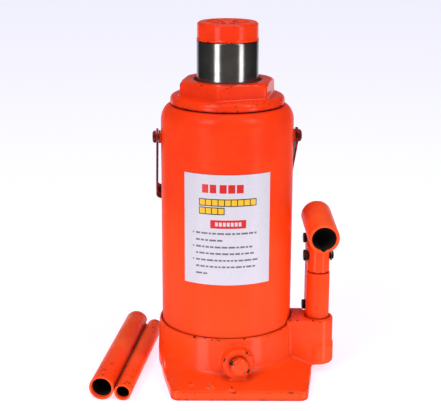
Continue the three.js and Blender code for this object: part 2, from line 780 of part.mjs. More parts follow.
// A plate rolled into a tube whose two edges come together below as a tongue.
function handleSocket() {
  const alongSocket = (geometry) =>
    geometry
      .rotateX(-Math.PI / 2)
      .rotateX(SOCKET_TILT)
      .translate(0, SOCKET_CENTRE.back, SOCKET_CENTRE.z);
  const half = SOCKET_LENGTH / 2;
  const tongue = new THREE.Shape();
  tongue.moveTo(-TONGUE_EYE_R, 137.5);
  tongue.absarc(PLUNGER_PIVOT.back, PLUNGER_PIVOT.z, TONGUE_EYE_R, Math.PI, 1.61 * Math.PI);
  tongue.absarc(LINK_TOP_PIVOT.back, LINK_TOP_PIVOT.z, TONGUE_EYE_R, -0.39 * Math.PI, 0.15 * Math.PI);
  tongue.lineTo(24, 142);
  const seam = shapeOf([[-4.5, -10.5], [0, -14.2], [4.5, -10.5]]);
  return cut(
    join(
      alongSocket(rod(SOCKET_R, -half, half, 28)),
      upright(tongue, -TONGUE_HALF, TONGUE_HALF),
    ),
    alongSocket(rod(SOCKET_BORE_R, -half - 1, half + 1, 28)),
    alongSocket(extruded(seam, -half - 1, half + 1).rotateZ(Math.PI)),
    crossBar(PIN_R + GAP, -20, 20, PLUNGER_PIVOT.back, PLUNGER_PIVOT.z),
    crossBar(PIN_R + GAP, -20, 20, LINK_TOP_PIVOT.back, LINK_TOP_PIVOT.z),
  );
}

piece(
  "pump_cylinder",
  revolve(
    [
      [3, 24],
      [PUMP_CYLINDER_R, 24],
      [PUMP_CYLINDER_R, PUMP_CYLINDER_TOP_Z - 1],
      [PUMP_CYLINDER_R - 1, PUMP_CYLINDER_TOP_Z],
      [PLUNGER_R + GAP, PUMP_CYLINDER_TOP_Z],
      [PLUNGER_R + GAP, 28],
      [3, 28],
    ],
  ),
  PAINT,
  pump,
);
piece("pump_gasket", ring(6, 11, PUMP_SEAT_Z + GAP, 23.7), COPPER, pump);
piece("pump_plunger", plunger(), PAINT, pump);
piece(
  "plunger_seal",
  ring(PLUNGER_GROOVE.r + GAP, PLUNGER_R, PLUNGER_GROOVE.from + GAP, PLUNGER_GROOVE.to - GAP),
  SEAL,
  pump,
);
piece("handle_socket", handleSocket(), PAINT, pump);
piece("plunger_pin", headedPin(PLUNGER_PIVOT, PLUNGER_PIN), BLACKENED, pump);
piece("plunger_pin_clip", pinClip(PLUNGER_PIVOT, PLUNGER_PIN), STEEL, pump);
piece("link_top_pin", headedPin(LINK_TOP_PIVOT, LINK_PIN), BLACKENED, pump);
piece("link_top_pin_clip", pinClip(LINK_TOP_PIVOT, LINK_PIN), STEEL, pump);
piece("link_foot_pin", headedPin(LINK_FOOT_PIVOT, LINK_PIN), BLACKENED, pump);
piece("link_foot_pin_clip", pinClip(LINK_FOOT_PIVOT, LINK_PIN), STEEL, pump);
piece("link_plate_left", linkPlate(-LINK_INNER_X - LINK_THICKNESS), PAINT, pump);
piece("link_plate_right", linkPlate(LINK_INNER_X), PAINT, pump);

// ---------------------------------------------------------------- valves in the base

// The suction valve's seat is a plug with a cross hole and a hole up its middle.
function suctionPlug() {
  const { plugR, plugTopZ, holeR, z } = SUCTION;
  return cut(
    rod(plugR, BOSS_BOTTOM_Z + GAP, plugTopZ).translate(PUMP.x, PUMP.y, 0),
    rod(holeR, z, plugTopZ + 1).translate(PUMP.x, PUMP.y, 0),
    spoke(holeR, PUMP_DISTANCE - plugR - 3, PUMP_DISTANCE, PUMP_ANGLE, z),
  );
}

function atDelivery(geometry) {
  const { distance } = DELIVERY;
  return geometry.translate(distance * Math.cos(PUMP_ANGLE), distance * Math.sin(PUMP_ANGLE), 0);
}

// Upright, the screw's +X side becomes its underside once it lies along its radius.
const RELEASE_PIN_TURN = Math.PI / 2 - RELEASE_PIN_TILT;

// Release screw: a pointed nose, a groove for its seal ring and a domed head outside the boss.
function releaseScrew() {
  const nose = VALVE_SEAT + 2 * RELEASE.ballR + 0.1;
  const r = RELEASE.screwR;
  const screw = revolve(
    [
      [0, nose],
      [2.5, nose],
      [3.2, nose + 1.4],
      [r, nose + 2.9],
      [r, SEAL_RING.from - GAP],
      [SEAL_RING.inner - GAP, SEAL_RING.from - GAP],
      [SEAL_RING.inner - GAP, SEAL_RING.to + GAP],
      [r, SEAL_RING.to + GAP],
      [r, RELEASE_FACE + GAP],
      [RELEASE_HEAD_R, RELEASE_FACE + GAP],
      [RELEASE_HEAD_R, RELEASE_HEAD_END - 1.5],
      [RELEASE_HEAD_R - 1.5, RELEASE_HEAD_END],
      [0, RELEASE_HEAD_END],
    ],
  );
  const hole = crossBar(RELEASE_PIN.r + GAP, -12, 12, 0, RELEASE_PIN.at);
  return alongRadius(cut(screw, hole.rotateZ(RELEASE_PIN_TURN)), RELEASE_ANGLE, VALVE_Z);
}

function releasePin() {
  const { r, half, at } = RELEASE_PIN;
  const bar = crossBar(r, -half, half, 0, at).rotateZ(RELEASE_PIN_TURN);
  return alongRadius(bar, RELEASE_ANGLE, VALVE_Z);
}

function overloadScrew() {
  const { screwR, boreFrom } = OVERLOAD;
  const end = boreFrom + 8.2;
  const slot = box(-7, 7, -0.8, 0.8, end - 1.7, end + 2);
  return alongRadius(cut(rod(screwR, boreFrom + 0.4, end), slot), OVERLOAD_ANGLE, VALVE_Z);
}

// A ball against its seat's edge, on a radius of the jack.
function ballOnSeat({ ballR }, distance, angle) {
  return ball(ballR, distance * Math.cos(angle), distance * Math.sin(angle), VALVE_Z);
}

piece("suction_plug", suctionPlug(), STEEL);
piece(
  "suction_ball",
  ball(SUCTION.ballR, PUMP.x, PUMP.y, SUCTION.plugTopZ + SUCTION.ballR - 0.3),
  POLISHED,
);
piece(
  "delivery_ball",
  atDelivery(ball(DELIVERY.ballR, 0, 0, DELIVERY.seatZ + DELIVERY.ballR - 0.5)),
  POLISHED,
);
piece(
  "delivery_retainer",
  atDelivery(ring(2, DELIVERY.chamberR - GAP, CYLINDER_SEAT_Z - 4.8, CYLINDER_SEAT_Z - 1)),
  STEEL,
);
piece(
  "passage_plug",
  spoke(DELIVERY.plugR, DELIVERY.plugFrom, DELIVERY.plugFrom + 3.4, PUMP_ANGLE, DELIVERY.z),
  STEEL,
);
piece("release_valve", releaseScrew(), PAINT);
piece("release_valve_pin", releasePin(), BLACKENED);
piece(
  "release_valve_seal",
  alongRadius(
    ring(SEAL_RING.inner, RELEASE.screwR, SEAL_RING.from, SEAL_RING.to),
    RELEASE_ANGLE,
    VALVE_Z,
  ),
  RUBBER,
);
piece("release_valve_ball", ballOnSeat(RELEASE, VALVE_SEAT + 2.75, RELEASE_ANGLE), POLISHED);
piece("overload_ball", ballOnSeat(OVERLOAD, VALVE_SEAT + 2.75, OVERLOAD_ANGLE), POLISHED);
piece("overload_spring", alongRadius(spring(2.6, 0.6, 53, 60, 4), OVERLOAD_ANGLE, VALVE_Z), STEEL);
piece("overload_screw", overloadScrew(), STEEL);

// ---------------------------------------------------------------- bail

const BAIL_OUTER = BAIL_HALF_WIDTH + STRAP_THICKNESS / 2;
const BAIL_INNER = BAIL_HALF_WIDTH - STRAP_THICKNESS / 2;
const BAIL_BEND_R = 10;

// Drawn flat, arms along +Y from the bolts, then thickened to the strap's width.
function bailStrap() {
  const end = -STRAP_WIDTH / 2;
  const outer = roundedShape([
    [-BAIL_OUTER, end, 0.1],
    [BAIL_OUTER, end, 0.1],
    [BAIL_OUTER, BAIL_REACH + STRAP_THICKNESS / 2, BAIL_BEND_R],
    [-BAIL_OUTER, BAIL_REACH + STRAP_THICKNESS / 2, BAIL_BEND_R],
  ]);
  const inner = roundedShape([
    [-BAIL_INNER, end - 1, 0.1],
    [BAIL_INNER, end - 1, 0.1],
    [BAIL_INNER, BAIL_REACH - STRAP_THICKNESS / 2, BAIL_BEND_R - STRAP_THICKNESS],
    [-BAIL_INNER, BAIL_REACH - STRAP_THICKNESS / 2, BAIL_BEND_R - STRAP_THICKNESS],
  ]);
  const half = STRAP_WIDTH / 2;
  const side = new THREE.Shape();
  side.absarc(0, 0, half, Math.PI / 2, 1.5 * Math.PI);
  side.lineTo(BAIL_REACH + 10, -half);
  side.lineTo(BAIL_REACH + 10, half);
  return cut(
    common(
      cut(extruded(outer, -half, half), extruded(inner, -half - 1, half + 1)),
      upright(side, -BAIL_OUTER - 1, BAIL_OUTER + 1, 12),
    ),
    crossBar(BOLT_R + GAP, -BAIL_OUTER - 1, BAIL_OUTER + 1, 0, 0),
  );
}

function bailBolt(side) {
  const head = BAIL_OUTER + GAP;
  const bolt = revolve(
    [
      [0, TANK_R + 0.8],
      [BOLT_R, TANK_R + 0.8],
      [BOLT_R, head],
      [BOLT_HEAD_R, head],
      [BOLT_HEAD_R, head + 2],
      [BOLT_HEAD_R - 1.5, head + 3.4],
      [0, head + 3.6],
    ],
  );
  return bolt.rotateY((side * Math.PI) / 2);
}

// A short round stud welded to the tank, hollowed to its curve.
function bailBoss(side) {
  const stud = rod(6.5, 58, BAIL_INNER - GAP).rotateY((side * Math.PI) / 2);
  return cut(stud, rod(TANK_R + GAP, -20, 20), crossBar(BOLT_R + GAP, -80, 80, 0, 0));
}

const bail = piece("bail", bailStrap(), PAINT, bailFrame);
bail.rotation.x = -BAIL_DROOP;
piece("bail_boss_left", bailBoss(-1), PAINT, bailFrame);
piece("bail_boss_right", bailBoss(1), PAINT, bailFrame);
piece("bail_bolt_left", bailBolt(-1), PAINT, bailFrame);
piece("bail_bolt_right", bailBolt(1), PAINT, bailFrame);

// ---------------------------------------------------------------- handle tubes

// The upper tube's far end is notched to fit over the release valve's cross pin.
function handleTube({ x, y, turn, length, r, bore }, notched) {
  let tube = ring(bore, r, 0, length, 24);
  if (notched) {
    tube = cut(tube, box(-20, 20, -NOTCH.width / 2, NOTCH.width / 2, length - NOTCH.depth, length + 1));
  }
  return tube.rotateX(-Math.PI / 2).rotateZ(turn).translate(x, y, r);
}

piece("handle_tube_upper", handleTube(UPPER_TUBE, true), PAINT);
piece("handle_tube_lower", handleTube(LOWER_TUBE, false), PAINT);

export default jack;
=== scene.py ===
import json
import math
import random

import bmesh
import bpy
from mathutils import Matrix, Vector


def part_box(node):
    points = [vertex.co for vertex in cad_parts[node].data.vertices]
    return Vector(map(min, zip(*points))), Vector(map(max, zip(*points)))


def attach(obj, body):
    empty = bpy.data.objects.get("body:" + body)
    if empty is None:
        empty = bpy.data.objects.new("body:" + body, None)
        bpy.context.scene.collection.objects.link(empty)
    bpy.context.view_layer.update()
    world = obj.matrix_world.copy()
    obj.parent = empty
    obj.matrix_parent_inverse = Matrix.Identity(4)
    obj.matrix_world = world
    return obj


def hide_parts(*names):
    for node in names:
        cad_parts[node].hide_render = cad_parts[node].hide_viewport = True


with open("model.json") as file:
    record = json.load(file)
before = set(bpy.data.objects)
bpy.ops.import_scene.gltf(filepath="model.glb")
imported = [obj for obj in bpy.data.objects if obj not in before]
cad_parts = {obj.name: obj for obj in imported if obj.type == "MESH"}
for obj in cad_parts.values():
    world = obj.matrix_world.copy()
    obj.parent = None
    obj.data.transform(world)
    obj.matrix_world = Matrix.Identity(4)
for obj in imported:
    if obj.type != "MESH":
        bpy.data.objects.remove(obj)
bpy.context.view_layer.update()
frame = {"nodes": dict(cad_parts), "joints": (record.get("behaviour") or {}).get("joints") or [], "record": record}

# ---------------------------------------------------------------- sizes, in millimetres

MM = 0.001


def top_of(node):
    """The height of a node's highest point, to the nearest tenth."""
    return round(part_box(node)[1][2] / MM, 1)


def joint(name):
    return next(j for j in frame["joints"] if j["name"] == name)


def heading(x, y, z):
    """The direction about Z of a level axis, to the nearest tenth of a degree."""
    return math.radians(round(math.degrees(math.atan2(y, x)), 1))


GAP = 0.3  # between neighbouring pieces

FOOT_DEPTH = round(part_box("base_casting")[1][1] / MM, 1)  # from the ram's axis to the front edge
TANK_R = 65.0
TANK_TOP_Z = top_of("reservoir_tank")
CYLINDER_R = 44
NUT_TOP_Z = top_of("top_nut")
RAM_R = 30.0
RAM_TOP_Z = top_of("ram")
SADDLE_R = 29.5
SADDLE_TOP_Z = top_of("saddle")
PUMP_CYLINDER_TOP_Z = top_of("pump_cylinder")
HEAD_TOP_Z = top_of("pump_plunger")
FILLER_Z = 215
VALVE_Z = 31.0
RELEASE_ANGLE = heading(*joint("release_screw_advance")["axis"])
BACK_ANGLE = math.radians(90)

# Linkage pivots, as distance behind the pump's axis and height.
PLUNGER_PIVOT = (0, 121)
LINK_TOP_PIVOT = (27, 131)
LINK_FOOT_PIVOT = (27, 59)
LINK_PLAY = 1.9  # the foot pivot's hole is this much longer towards the back
LINK_EYE_R = 8
PIN_R = 4
EYE_R = PIN_R + GAP

ALONG_X = Matrix.Rotation(math.radians(90), 4, "Y")
PUMP_X, PUMP_Y = (round(v / MM, 1) for v in joint("handle_swing")["pos_m"][:2])
PUMP_TURN = heading(*(-v for v in joint("handle_swing")["axis"]))
PUMP_PLACE = Matrix.Translation((PUMP_X, PUMP_Y, 0)) @ Matrix.Rotation(PUMP_TURN, 4, "Z")
BAIL_Z = round(joint("bail_swing")["pos_m"][2] / MM, 1)
BAIL_TURN = heading(*joint("bail_swing")["axis"])
BAIL_PLACE = Matrix.Translation((0, 0, BAIL_Z)) @ Matrix.Rotation(BAIL_TURN, 4, "Z")


def on_radius(angle, z):
    """Lays something built upright on the axis along a radius of the jack, its top outwards."""
    return Matrix.Translation((0, 0, z)) @ Matrix.Rotation(angle, 4, "Z") @ ALONG_X


# ---------------------------------------------------------------- mesh helpers


def new_piece(name, points, faces):
    """A mesh object from points in millimetres, with its faces turned outwards."""
    bm = bmesh.new()
    corners = [bm.verts.new(p) for p in points]
    for face in faces:
        if len(set(face)) > 2:
            bm.faces.new([corners[i] for i in face])
    bmesh.ops.recalc_face_normals(bm, faces=bm.faces)
    mesh = bpy.data.meshes.new(name)
    bm.to_mesh(mesh)
    bm.free()
    obj = bpy.data.objects.new(name, mesh)
    bpy.context.scene.collection.objects.link(obj)
    return obj


def rounded(corners, closed=False, steps=5):
    """A flat outline through [x, y, radius] corners, each one rounded by an arc of that radius."""
    out = []
    count = len(corners)
    for i, corner in enumerate(corners):
        here = Vector(corner[:2])
        radius = corner[2] if len(corner) > 2 else 0
        if radius == 0 or (not closed and i in (0, count - 1)):
            out.append(here)
            continue
        to_last = Vector(corners[i - 1][:2]) - here
        to_next = Vector(corners[(i + 1) % count][:2]) - here
        half = to_last.angle(to_next) / 2
        reach = min(radius / math.tan(half), 0.49 * to_last.length, 0.49 * to_next.length)
        radius = reach * math.tan(half)
        bisector = (to_last.normalized() + to_next.normalized()).normalized()
        centre = here + bisector * (radius / math.sin(half))
        start = here + to_last.normalized() * reach - centre
        end = here + to_next.normalized() * reach - centre
        turn = math.atan2(start.x * end.y - start.y * end.x, start.dot(end))
        for k in range(steps + 1):
            a = turn * k / steps
            c, s = math.cos(a), math.sin(a)
            out.append(centre + Vector((start.x * c - start.y * s, start.x * s + start.y * c)))
    return out


def arc(centre, radius, start, end, steps, rise=None):
    """Points from one angle to another, in degrees, on a circle, or on an ellipse of another rise."""
    rise = rise or radius
    angles = [math.radians(start + (end - start) * k / steps) for k in range(steps + 1)]
    return [(centre[0] + radius * math.cos(a), centre[1] + rise * math.sin(a)) for a in angles]


def lathe(name, corners, steps=96, place=Matrix(), corner_steps=5):
    """A profile of [radius, height, rounding] corners turned about Z. One off the axis closes on itself."""
    on_axis = corners[0][0] == 0 and corners[-1][0] == 0
    profile = rounded(corners, closed=not on_axis, steps=corner_steps)
    points, rings = [], []
    for p in profile:
        if p.x < 1e-6:
            rings.append([len(points)] * steps)
            points.append(Vector((0, 0, p.y)))
        else:
            rings.append(list(range(len(points), len(points) + steps)))
            for k in range(steps):
                a = 2 * math.pi * k / steps
                points.append(Vector((p.x * math.cos(a), p.x * math.sin(a), p.y)))
    pairs = list(zip(rings, rings[1:]))
    if not on_axis:
        pairs.append((rings[-1], rings[0]))
    faces = []
    for low, high in pairs:
        for k in range(steps):
            n = (k + 1) % steps
            face = [low[k], low[n], high[n], high[k]]
            face = [v for i, v in enumerate(face) if v != face[i - 1]]
            faces.append(face)
    obj = new_piece(name, points, faces)
    obj.data.transform(place)
    return obj


def rod(name, r, low, high, place=Matrix(), steps=64, edge=0.0):
    """A round bar along Z, its two rims rounded where edge is given."""
    return lathe(name, [[0, low], [r, low, edge], [r, high, edge], [0, high]], steps, place, 3)


def prism(name, outline, low, high, place=Matrix()):
    """A flat outline thickened along Z."""
    count = len(outline)
    points = [Vector((p[0], p[1], z)) for z in (low, high) for p in outline]
    faces = [list(range(count)), list(range(2 * count - 1, count - 1, -1))]
    faces += [[i, (i + 1) % count, (i + 1) % count + count, i + count] for i in range(count)]
    obj = new_piece(name, points, faces)
    obj.data.transform(place)
    return obj


def block(name, x, y, z, place=Matrix()):
    return prism(name, [(x[0], y[0]), (x[1], y[0]), (x[1], y[1]), (x[0], y[1])], *z, place)


# Stands a flat outline up in the YZ plane, thickened along X.
UPRIGHT = Matrix(((0, 0, 1, 0), (1, 0, 0, 0), (0, 1, 0, 0), (0, 0, 0, 1)))


def settle(obj):
    """Applies an object's modifiers."""
    graph = bpy.context.evaluated_depsgraph_get()
    graph.update()
    mesh = bpy.data.meshes.new_from_object(obj.evaluated_get(graph), depsgraph=graph)
    obj.modifiers.clear()
    old, obj.data = obj.data, mesh
    mesh.name = obj.name
    bpy.data.meshes.remove(old)
    return obj


def combine(obj, operation, others):
    for other in others:
        modifier = obj.modifiers.new("combine", "BOOLEAN")
        modifier.operation = operation
        modifier.solver = "EXACT"
        modifier.object = other
        settle(obj)
        bpy.data.objects.remove(other)
    return obj


def carve(obj, *others):
    return combine(obj, "DIFFERENCE", others)


def fuse(obj, *others):
    return combine(obj, "UNION", others)


def keep_common(obj, *others):
    return combine(obj, "INTERSECT", others)


def bevel(obj, width, segments=3, angle=30):
    modifier = obj.modifiers.new("edges", "BEVEL")
    modifier.width = width
    modifier.segments = segments
    modifier.limit_method = "ANGLE"
    modifier.angle_limit = math.radians(angle)
    modifier.harden_normals = False
    return settle(obj)


def recast(obj, voxel, rounds, factor=0.5):
    """Rebuilds a closed mesh on an even grid and melts its edges, as casting and thick paint do."""
    remesh = obj.modifiers.new("grid", "REMESH")
    remesh.mode = "VOXEL"
    remesh.voxel_size = voxel
    smooth = obj.modifiers.new("melt", "SMOOTH")
    smooth.factor = factor
    smooth.iterations = rounds
    return settle(obj)


def shade(obj, angle=32):
    mesh = obj.data
    mesh.polygons.foreach_set("use_smooth", [True] * len(mesh.polygons))
    mesh.set_sharp_from_angle(angle=math.radians(angle))
    mesh.update()
    return obj


def line_bore(obj, place, inside):
    """Gives the second material to the faces whose middles lie inside a bore, by the bore's own axes."""
    into = place.inverted()
    for face in obj.data.polygons:
        if inside(into @ (face.center / MM)):
            face.material_index = 1


def hand_over(obj, body, materials, node, angle=32):
    """Scales a finished piece to metres, gives it its finish, and sets it on its body in its node's place."""
    obj.data.transform(Matrix.Scale(MM, 4))
    obj.data.materials.clear()
    for material in materials if isinstance(materials, (list, tuple)) else [materials]:
        obj.data.materials.append(material)
    shade(obj, angle)
    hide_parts(node)
    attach(obj, body)


# ---------------------------------------------------------------- material helpers


def color_ramp(tree, source, stops):
    """Blends between stops of (position, grey or color)."""
    node = tree.nodes.new("ShaderNodeValToRGB")
    elements = node.color_ramp.elements
    elements[0].position = stops[0][0]
    elements[1].position = stops[-1][0]
    for position, _ in stops[1:-1]:
        elements.new(position)
    for element, (_, value) in zip(elements, stops):
        element.color = (*value, 1) if isinstance(value, tuple) else (value, value, value, 1)
    tree.links.new(source, node.inputs["Fac"])
    return node.outputs["Color"]


def map_range(tree, source, low, high, at_low=0.0, at_high=1.0):
    """Turns low to high into at_low to at_high, and holds the value beyond either end."""
    node = tree.nodes.new("ShaderNodeMapRange")
    node.inputs["From Min"].default_value = low
    node.inputs["From Max"].default_value = high
    node.inputs["To Min"].default_value = at_low
    node.inputs["To Max"].default_value = at_high
    tree.links.new(source, node.inputs["Value"])
    return node.outputs["Result"]


def shade_of(color, share):
    return tuple(c * share for c in color)


class Finish:
    """A node material with short calls for the nodes that the finishes share."""

    def __init__(self, name, color, roughness, metallic=0.0):
        self.material = bpy.data.materials.new(name)
        self.material.use_nodes = True
        self.tree = self.material.node_tree
        self.tree.nodes.clear()
        self.out = self.tree.nodes.new("ShaderNodeOutputMaterial")
        self.bsdf = self.tree.nodes.new("ShaderNodeBsdfPrincipled")
        self.tree.links.new(self.bsdf.outputs["BSDF"], self.out.inputs["Surface"])
        self.bsdf.inputs["Base Color"].default_value = (*color, 1)
        self.bsdf.inputs["Roughness"].default_value = roughness
        self.bsdf.inputs["Metallic"].default_value = metallic
        self.where = self.tree.nodes.new("ShaderNodeTexCoord").outputs["Object"]
        self.material.diffuse_color = (*color, 1)

    def link(self, source, target):
        self.tree.links.new(source, target)

    def stretched(self, scale):
        mapping = self.tree.nodes.new("ShaderNodeMapping")
        mapping.inputs["Scale"].default_value = scale
        self.link(self.where, mapping.inputs["Vector"])
        return mapping.outputs["Vector"]

    def grain(self, size, detail=3.0, roughness=0.55, where=None, distortion=0.0):
        """Noise whose features are about size millimetres across."""
        node = self.tree.nodes.new("ShaderNodeTexNoise")
        node.inputs["Scale"].default_value = 1 / (size * MM)
        node.inputs["Detail"].default_value = detail
        node.inputs["Roughness"].default_value = roughness
        node.inputs["Distortion"].default_value = distortion
        self.link(where or self.where, node.inputs["Vector"])
        return node.outputs["Fac"]

    def ramp(self, source, stops):
        return color_ramp(self.tree, source, stops)

    def mix(self, fac, a, b):
        node = self.tree.nodes.new("ShaderNodeMix")
        node.data_type = "RGBA"
        self.link(fac, node.inputs["Factor"])
        color_a, color_b, color_out = node.inputs[6], node.inputs[7], node.outputs[2]
        for value, socket in ((a, color_a), (b, color_b)):
            if isinstance(value, tuple):
                socket.default_value = (*value, 1)
            else:
                self.link(value, socket)
        return color_out

    def math(self, operation, a, b):
        node = self.tree.nodes.new("ShaderNodeMath")
        node.operation = operation
        node.use_clamp = True
        for value, socket in ((a, node.inputs[0]), (b, node.inputs[1])):
            if isinstance(value, (int, float)):
                socket.default_value = value
            else:
                self.link(value, socket)
        return node.outputs["Value"]

    def edges(self, low, high):
        """From 0 to 1 on edges that stand out, where low and high bracket the surface's pointiness."""
        geometry = self.tree.nodes.new("ShaderNodeNewGeometry")
        return self.ramp(geometry.outputs["Pointiness"], [(low, 0.0), (high, 1.0)])

    def height(self, low, high):
        """From 1 at low millimetres above the floor to 0 at high."""
        split = self.tree.nodes.new("ShaderNodeSeparateXYZ")
        self.link(self.where, split.inputs["Vector"])
        return map_range(self.tree, split.outputs["Z"], high * MM, low * MM)

    def hollows(self, reach, low, high):
        """From 1 deep in a hollow or a narrow gap to 0 in the open, looking reach millimetres around."""
        node = self.tree.nodes.new("ShaderNodeAmbientOcclusion")
        node.samples = 6
        node.inputs["Distance"].default_value = reach * MM
        return self.ramp(node.outputs["AO"], [(low, 1.0), (high, 0.0)])

    def color(self, source):
        self.link(source, self.bsdf.inputs["Base Color"])

    def roughness(self, source):
        self.link(source, self.bsdf.inputs["Roughness"])

    def metallic(self, source):
        self.link(source, self.bsdf.inputs["Metallic"])

    def bump(self, *layers):
        """Layers of (height, depth in millimetres), each on top of the last."""
        below = None
        for height, depth in layers:
            node = self.tree.nodes.new("ShaderNodeBump")
            node.inputs["Strength"].default_value = 1.0
            node.inputs["Distance"].default_value = depth * MM
            self.link(height, node.inputs["Height"])
            if below is not None:
                self.link(below, node.inputs["Normal"])
            below = node.outputs["Normal"]
        self.link(below, self.bsdf.inputs["Normal"])


# ---------------------------------------------------------------- finishes

ORANGE = (0.94, 0.040, 0.0035)
ORANGE_LIGHT = (0.96, 0.056, 0.006)
ORANGE_DEEP = (0.86, 0.031, 0.003)
# WARM and WARM_LIGHT are lighter oranges used only as painted light: low down on the paint, and as the tubes'
# tones.
WARM = (0.95, 0.076, 0.008)
WARM_LIGHT = (0.98, 0.115, 0.025)
# Painted shade: a dark maroon that the paint turns towards in gaps and hollows.
CREVICE_SHADE = (0.30, 0.012, 0.007)
PRIMER = (0.05, 0.014, 0.010)


def paint(name, rough=0.30, cast=0.0, chips=0.62, ripple=0.010, coat=0.2, painted_low_light=0.55, tones=None):
    """Enamel: slow colour drift, a paler tone low down that is painted light, orange peel, painted shade darkening
    the gaps, and chips to dark steel.

    The paint has come off where the noise passes chips, a little above it in the open and below it on edges.
    """
    deep, middle, light = tones or (ORANGE_DEEP, ORANGE, ORANGE_LIGHT)
    f = Finish(name, middle, rough)
    drift_and_low_light = f.ramp(f.grain(40, 3), [(0.30, deep), (0.5, middle), (0.74, light)])
    # Painted light: the paint is lighter towards the floor, standing in for the brighter reflection low down.
    if painted_low_light:
        drift_and_low_light = f.mix(f.math("MULTIPLY", f.height(130, 235), painted_low_light), drift_and_low_light, WARM)
    fine = f.grain(2.4, 4, 0.6)
    mottled = f.mix(f.ramp(fine, [(0.45, 0.0), (0.66, 0.16)]), drift_and_low_light, light)
    # Painted shade: the paint darkens towards the maroon in narrow gaps and hollows, where less light falls.
    shaded_in_gaps = f.mix(f.math("MULTIPLY", f.hollows(9, 0.30, 0.80), 0.8), mottled, CREVICE_SHADE)
    pits = f.grain(5.5, 6, 0.68, distortion=0.4)
    open_pits = f.ramp(pits, [(chips + 0.1, 0.0), (chips + 0.13, 1.0)])
    deep_pits = f.ramp(pits, [(chips - 0.03, 0.0), (chips + 0.01, 1.0)])
    edge_pits = f.math("MULTIPLY", deep_pits, f.edges(0.507, 0.518))
    f.color(f.mix(f.math("MAXIMUM", open_pits, edge_pits), shaded_in_gaps, PRIMER))
    f.roughness(f.ramp(f.grain(9, 5), [(0.3, rough - 0.05), (0.7, rough + 0.07)]))
    layers = [(f.grain(30, 2), 0.12), (f.grain(1.6, 3), ripple)]
    if cast:
        layers.append((f.grain(3.2, 5, 0.62), cast))
    f.bump(*layers)
    f.bsdf.inputs["Specular IOR Level"].default_value = 0.10
    f.bsdf.inputs["Coat Weight"].default_value = coat
    f.bsdf.inputs["Coat Roughness"].default_value = 0.15
    return f.material


def bright_steel(name, color, rough, streak=(1, 1, 60), depth=0.002, stain=(0.16, 0.15, 0.15)):
    """Ground steel: fine streaks along one way, a faint film of oil and a little staining."""
    f = Finish(name, color, rough, 1.0)
    lines = f.grain(6, 6, 0.7, f.stretched(streak))
    film = f.ramp(f.grain(14, 4), [(0.35, 0.0), (0.75, 0.5)])
    f.color(f.mix(film, f.ramp(lines, [(0.3, shade_of(color, 0.82)), (0.7, color)]), stain))
    f.roughness(f.ramp(lines, [(0.3, rough * 0.7), (0.7, rough * 1.5)]))
    f.bump((lines, depth))
    return f.material


def dark_steel(name):
    """Blackened steel, worn bright along its edges, with brown traces."""
    f = Finish(name, (0.045, 0.035, 0.032), 0.42, 0.85)
    rust = f.ramp(f.grain(2.2, 5, 0.65), [(0.45, (0.028, 0.022, 0.020)), (0.7, (0.11, 0.045, 0.025))])
    worn = f.math("MULTIPLY", f.edges(0.51, 0.60), f.ramp(f.grain(1.5, 4), [(0.4, 0.0), (0.6, 0.8)]))
    f.color(f.mix(worn, rust, (0.30, 0.28, 0.27)))
    f.roughness(f.ramp(f.grain(1.2, 4), [(0.3, 0.32), (0.7, 0.58)]))
    f.bump((f.grain(0.9, 4), 0.02))
    return f.material


def rubber(name, color=(0.018, 0.018, 0.020), rough=0.68):
    """Matt rubber or plastic, a little cloudy and dusty."""
    f = Finish(name, color, rough)
    f.color(f.ramp(f.grain(3, 5), [(0.3, shade_of(color, 0.7)), (0.7, shade_of(color, 1.7))]))
    f.roughness(f.ramp(f.grain(1.5, 4), [(0.3, rough - 0.12), (0.7, rough + 0.12)]))
    f.bump((f.grain(0.6, 3), 0.02))
    return f.material


def copper(name):
    """Annealed copper with darker tarnish."""
    bright, tarnished = (0.62, 0.24, 0.12), (0.33, 0.12, 0.06)
    f = Finish(name, bright, 0.34, 1.0)
    f.color(f.ramp(f.grain(4, 5, 0.6), [(0.35, bright), (0.65, tarnished)]))
    f.roughness(f.ramp(f.grain(1.5, 4), [(0.3, 0.24), (0.7, 0.5)]))
    f.bump((f.grain(0.8, 4), 0.01))
    return f.material


def printed(name, color, rough=0.32):
    """Printed film: a slight cloudiness in the ink, faint dust and a soft ripple over the paint below."""
    f = Finish(name, color, rough)
    f.color(f.ramp(f.grain(1.1, 4, 0.6), [(0.3, shade_of(color, 0.90)), (0.65, color)]))
    f.roughness(f.ramp(f.grain(4, 4), [(0.3, rough - 0.06), (0.7, rough + 0.1)]))
    f.bump((f.grain(30, 2), 0.12), (f.grain(0.8, 3), 0.003))
    return f.material


PAINT_CAST = paint("paint_cast", 0.24, cast=0.03, chips=0.59, coat=0.35)
PAINT_ROLLED = paint("paint_rolled", 0.34, chips=0.74, ripple=0.004, coat=0.06)
# Painted light: the tubes and socket take lighter tones than the other paint, standing in for more light from
# above on them.
TUBE_LIT_TONES = (ORANGE_LIGHT, WARM, WARM_LIGHT)
PAINT_TUBE = paint("paint_tube", 0.34, chips=0.61, ripple=0.004, coat=0.10, painted_low_light=0, tones=TUBE_LIT_TONES)
BAIL_TONES = ((0.12, 0.007, 0.006), (0.30, 0.012, 0.007), (0.50, 0.022, 0.009))
PAINT_BAIL = paint("paint_bail", 0.36, chips=0.50, painted_low_light=0, tones=BAIL_TONES)
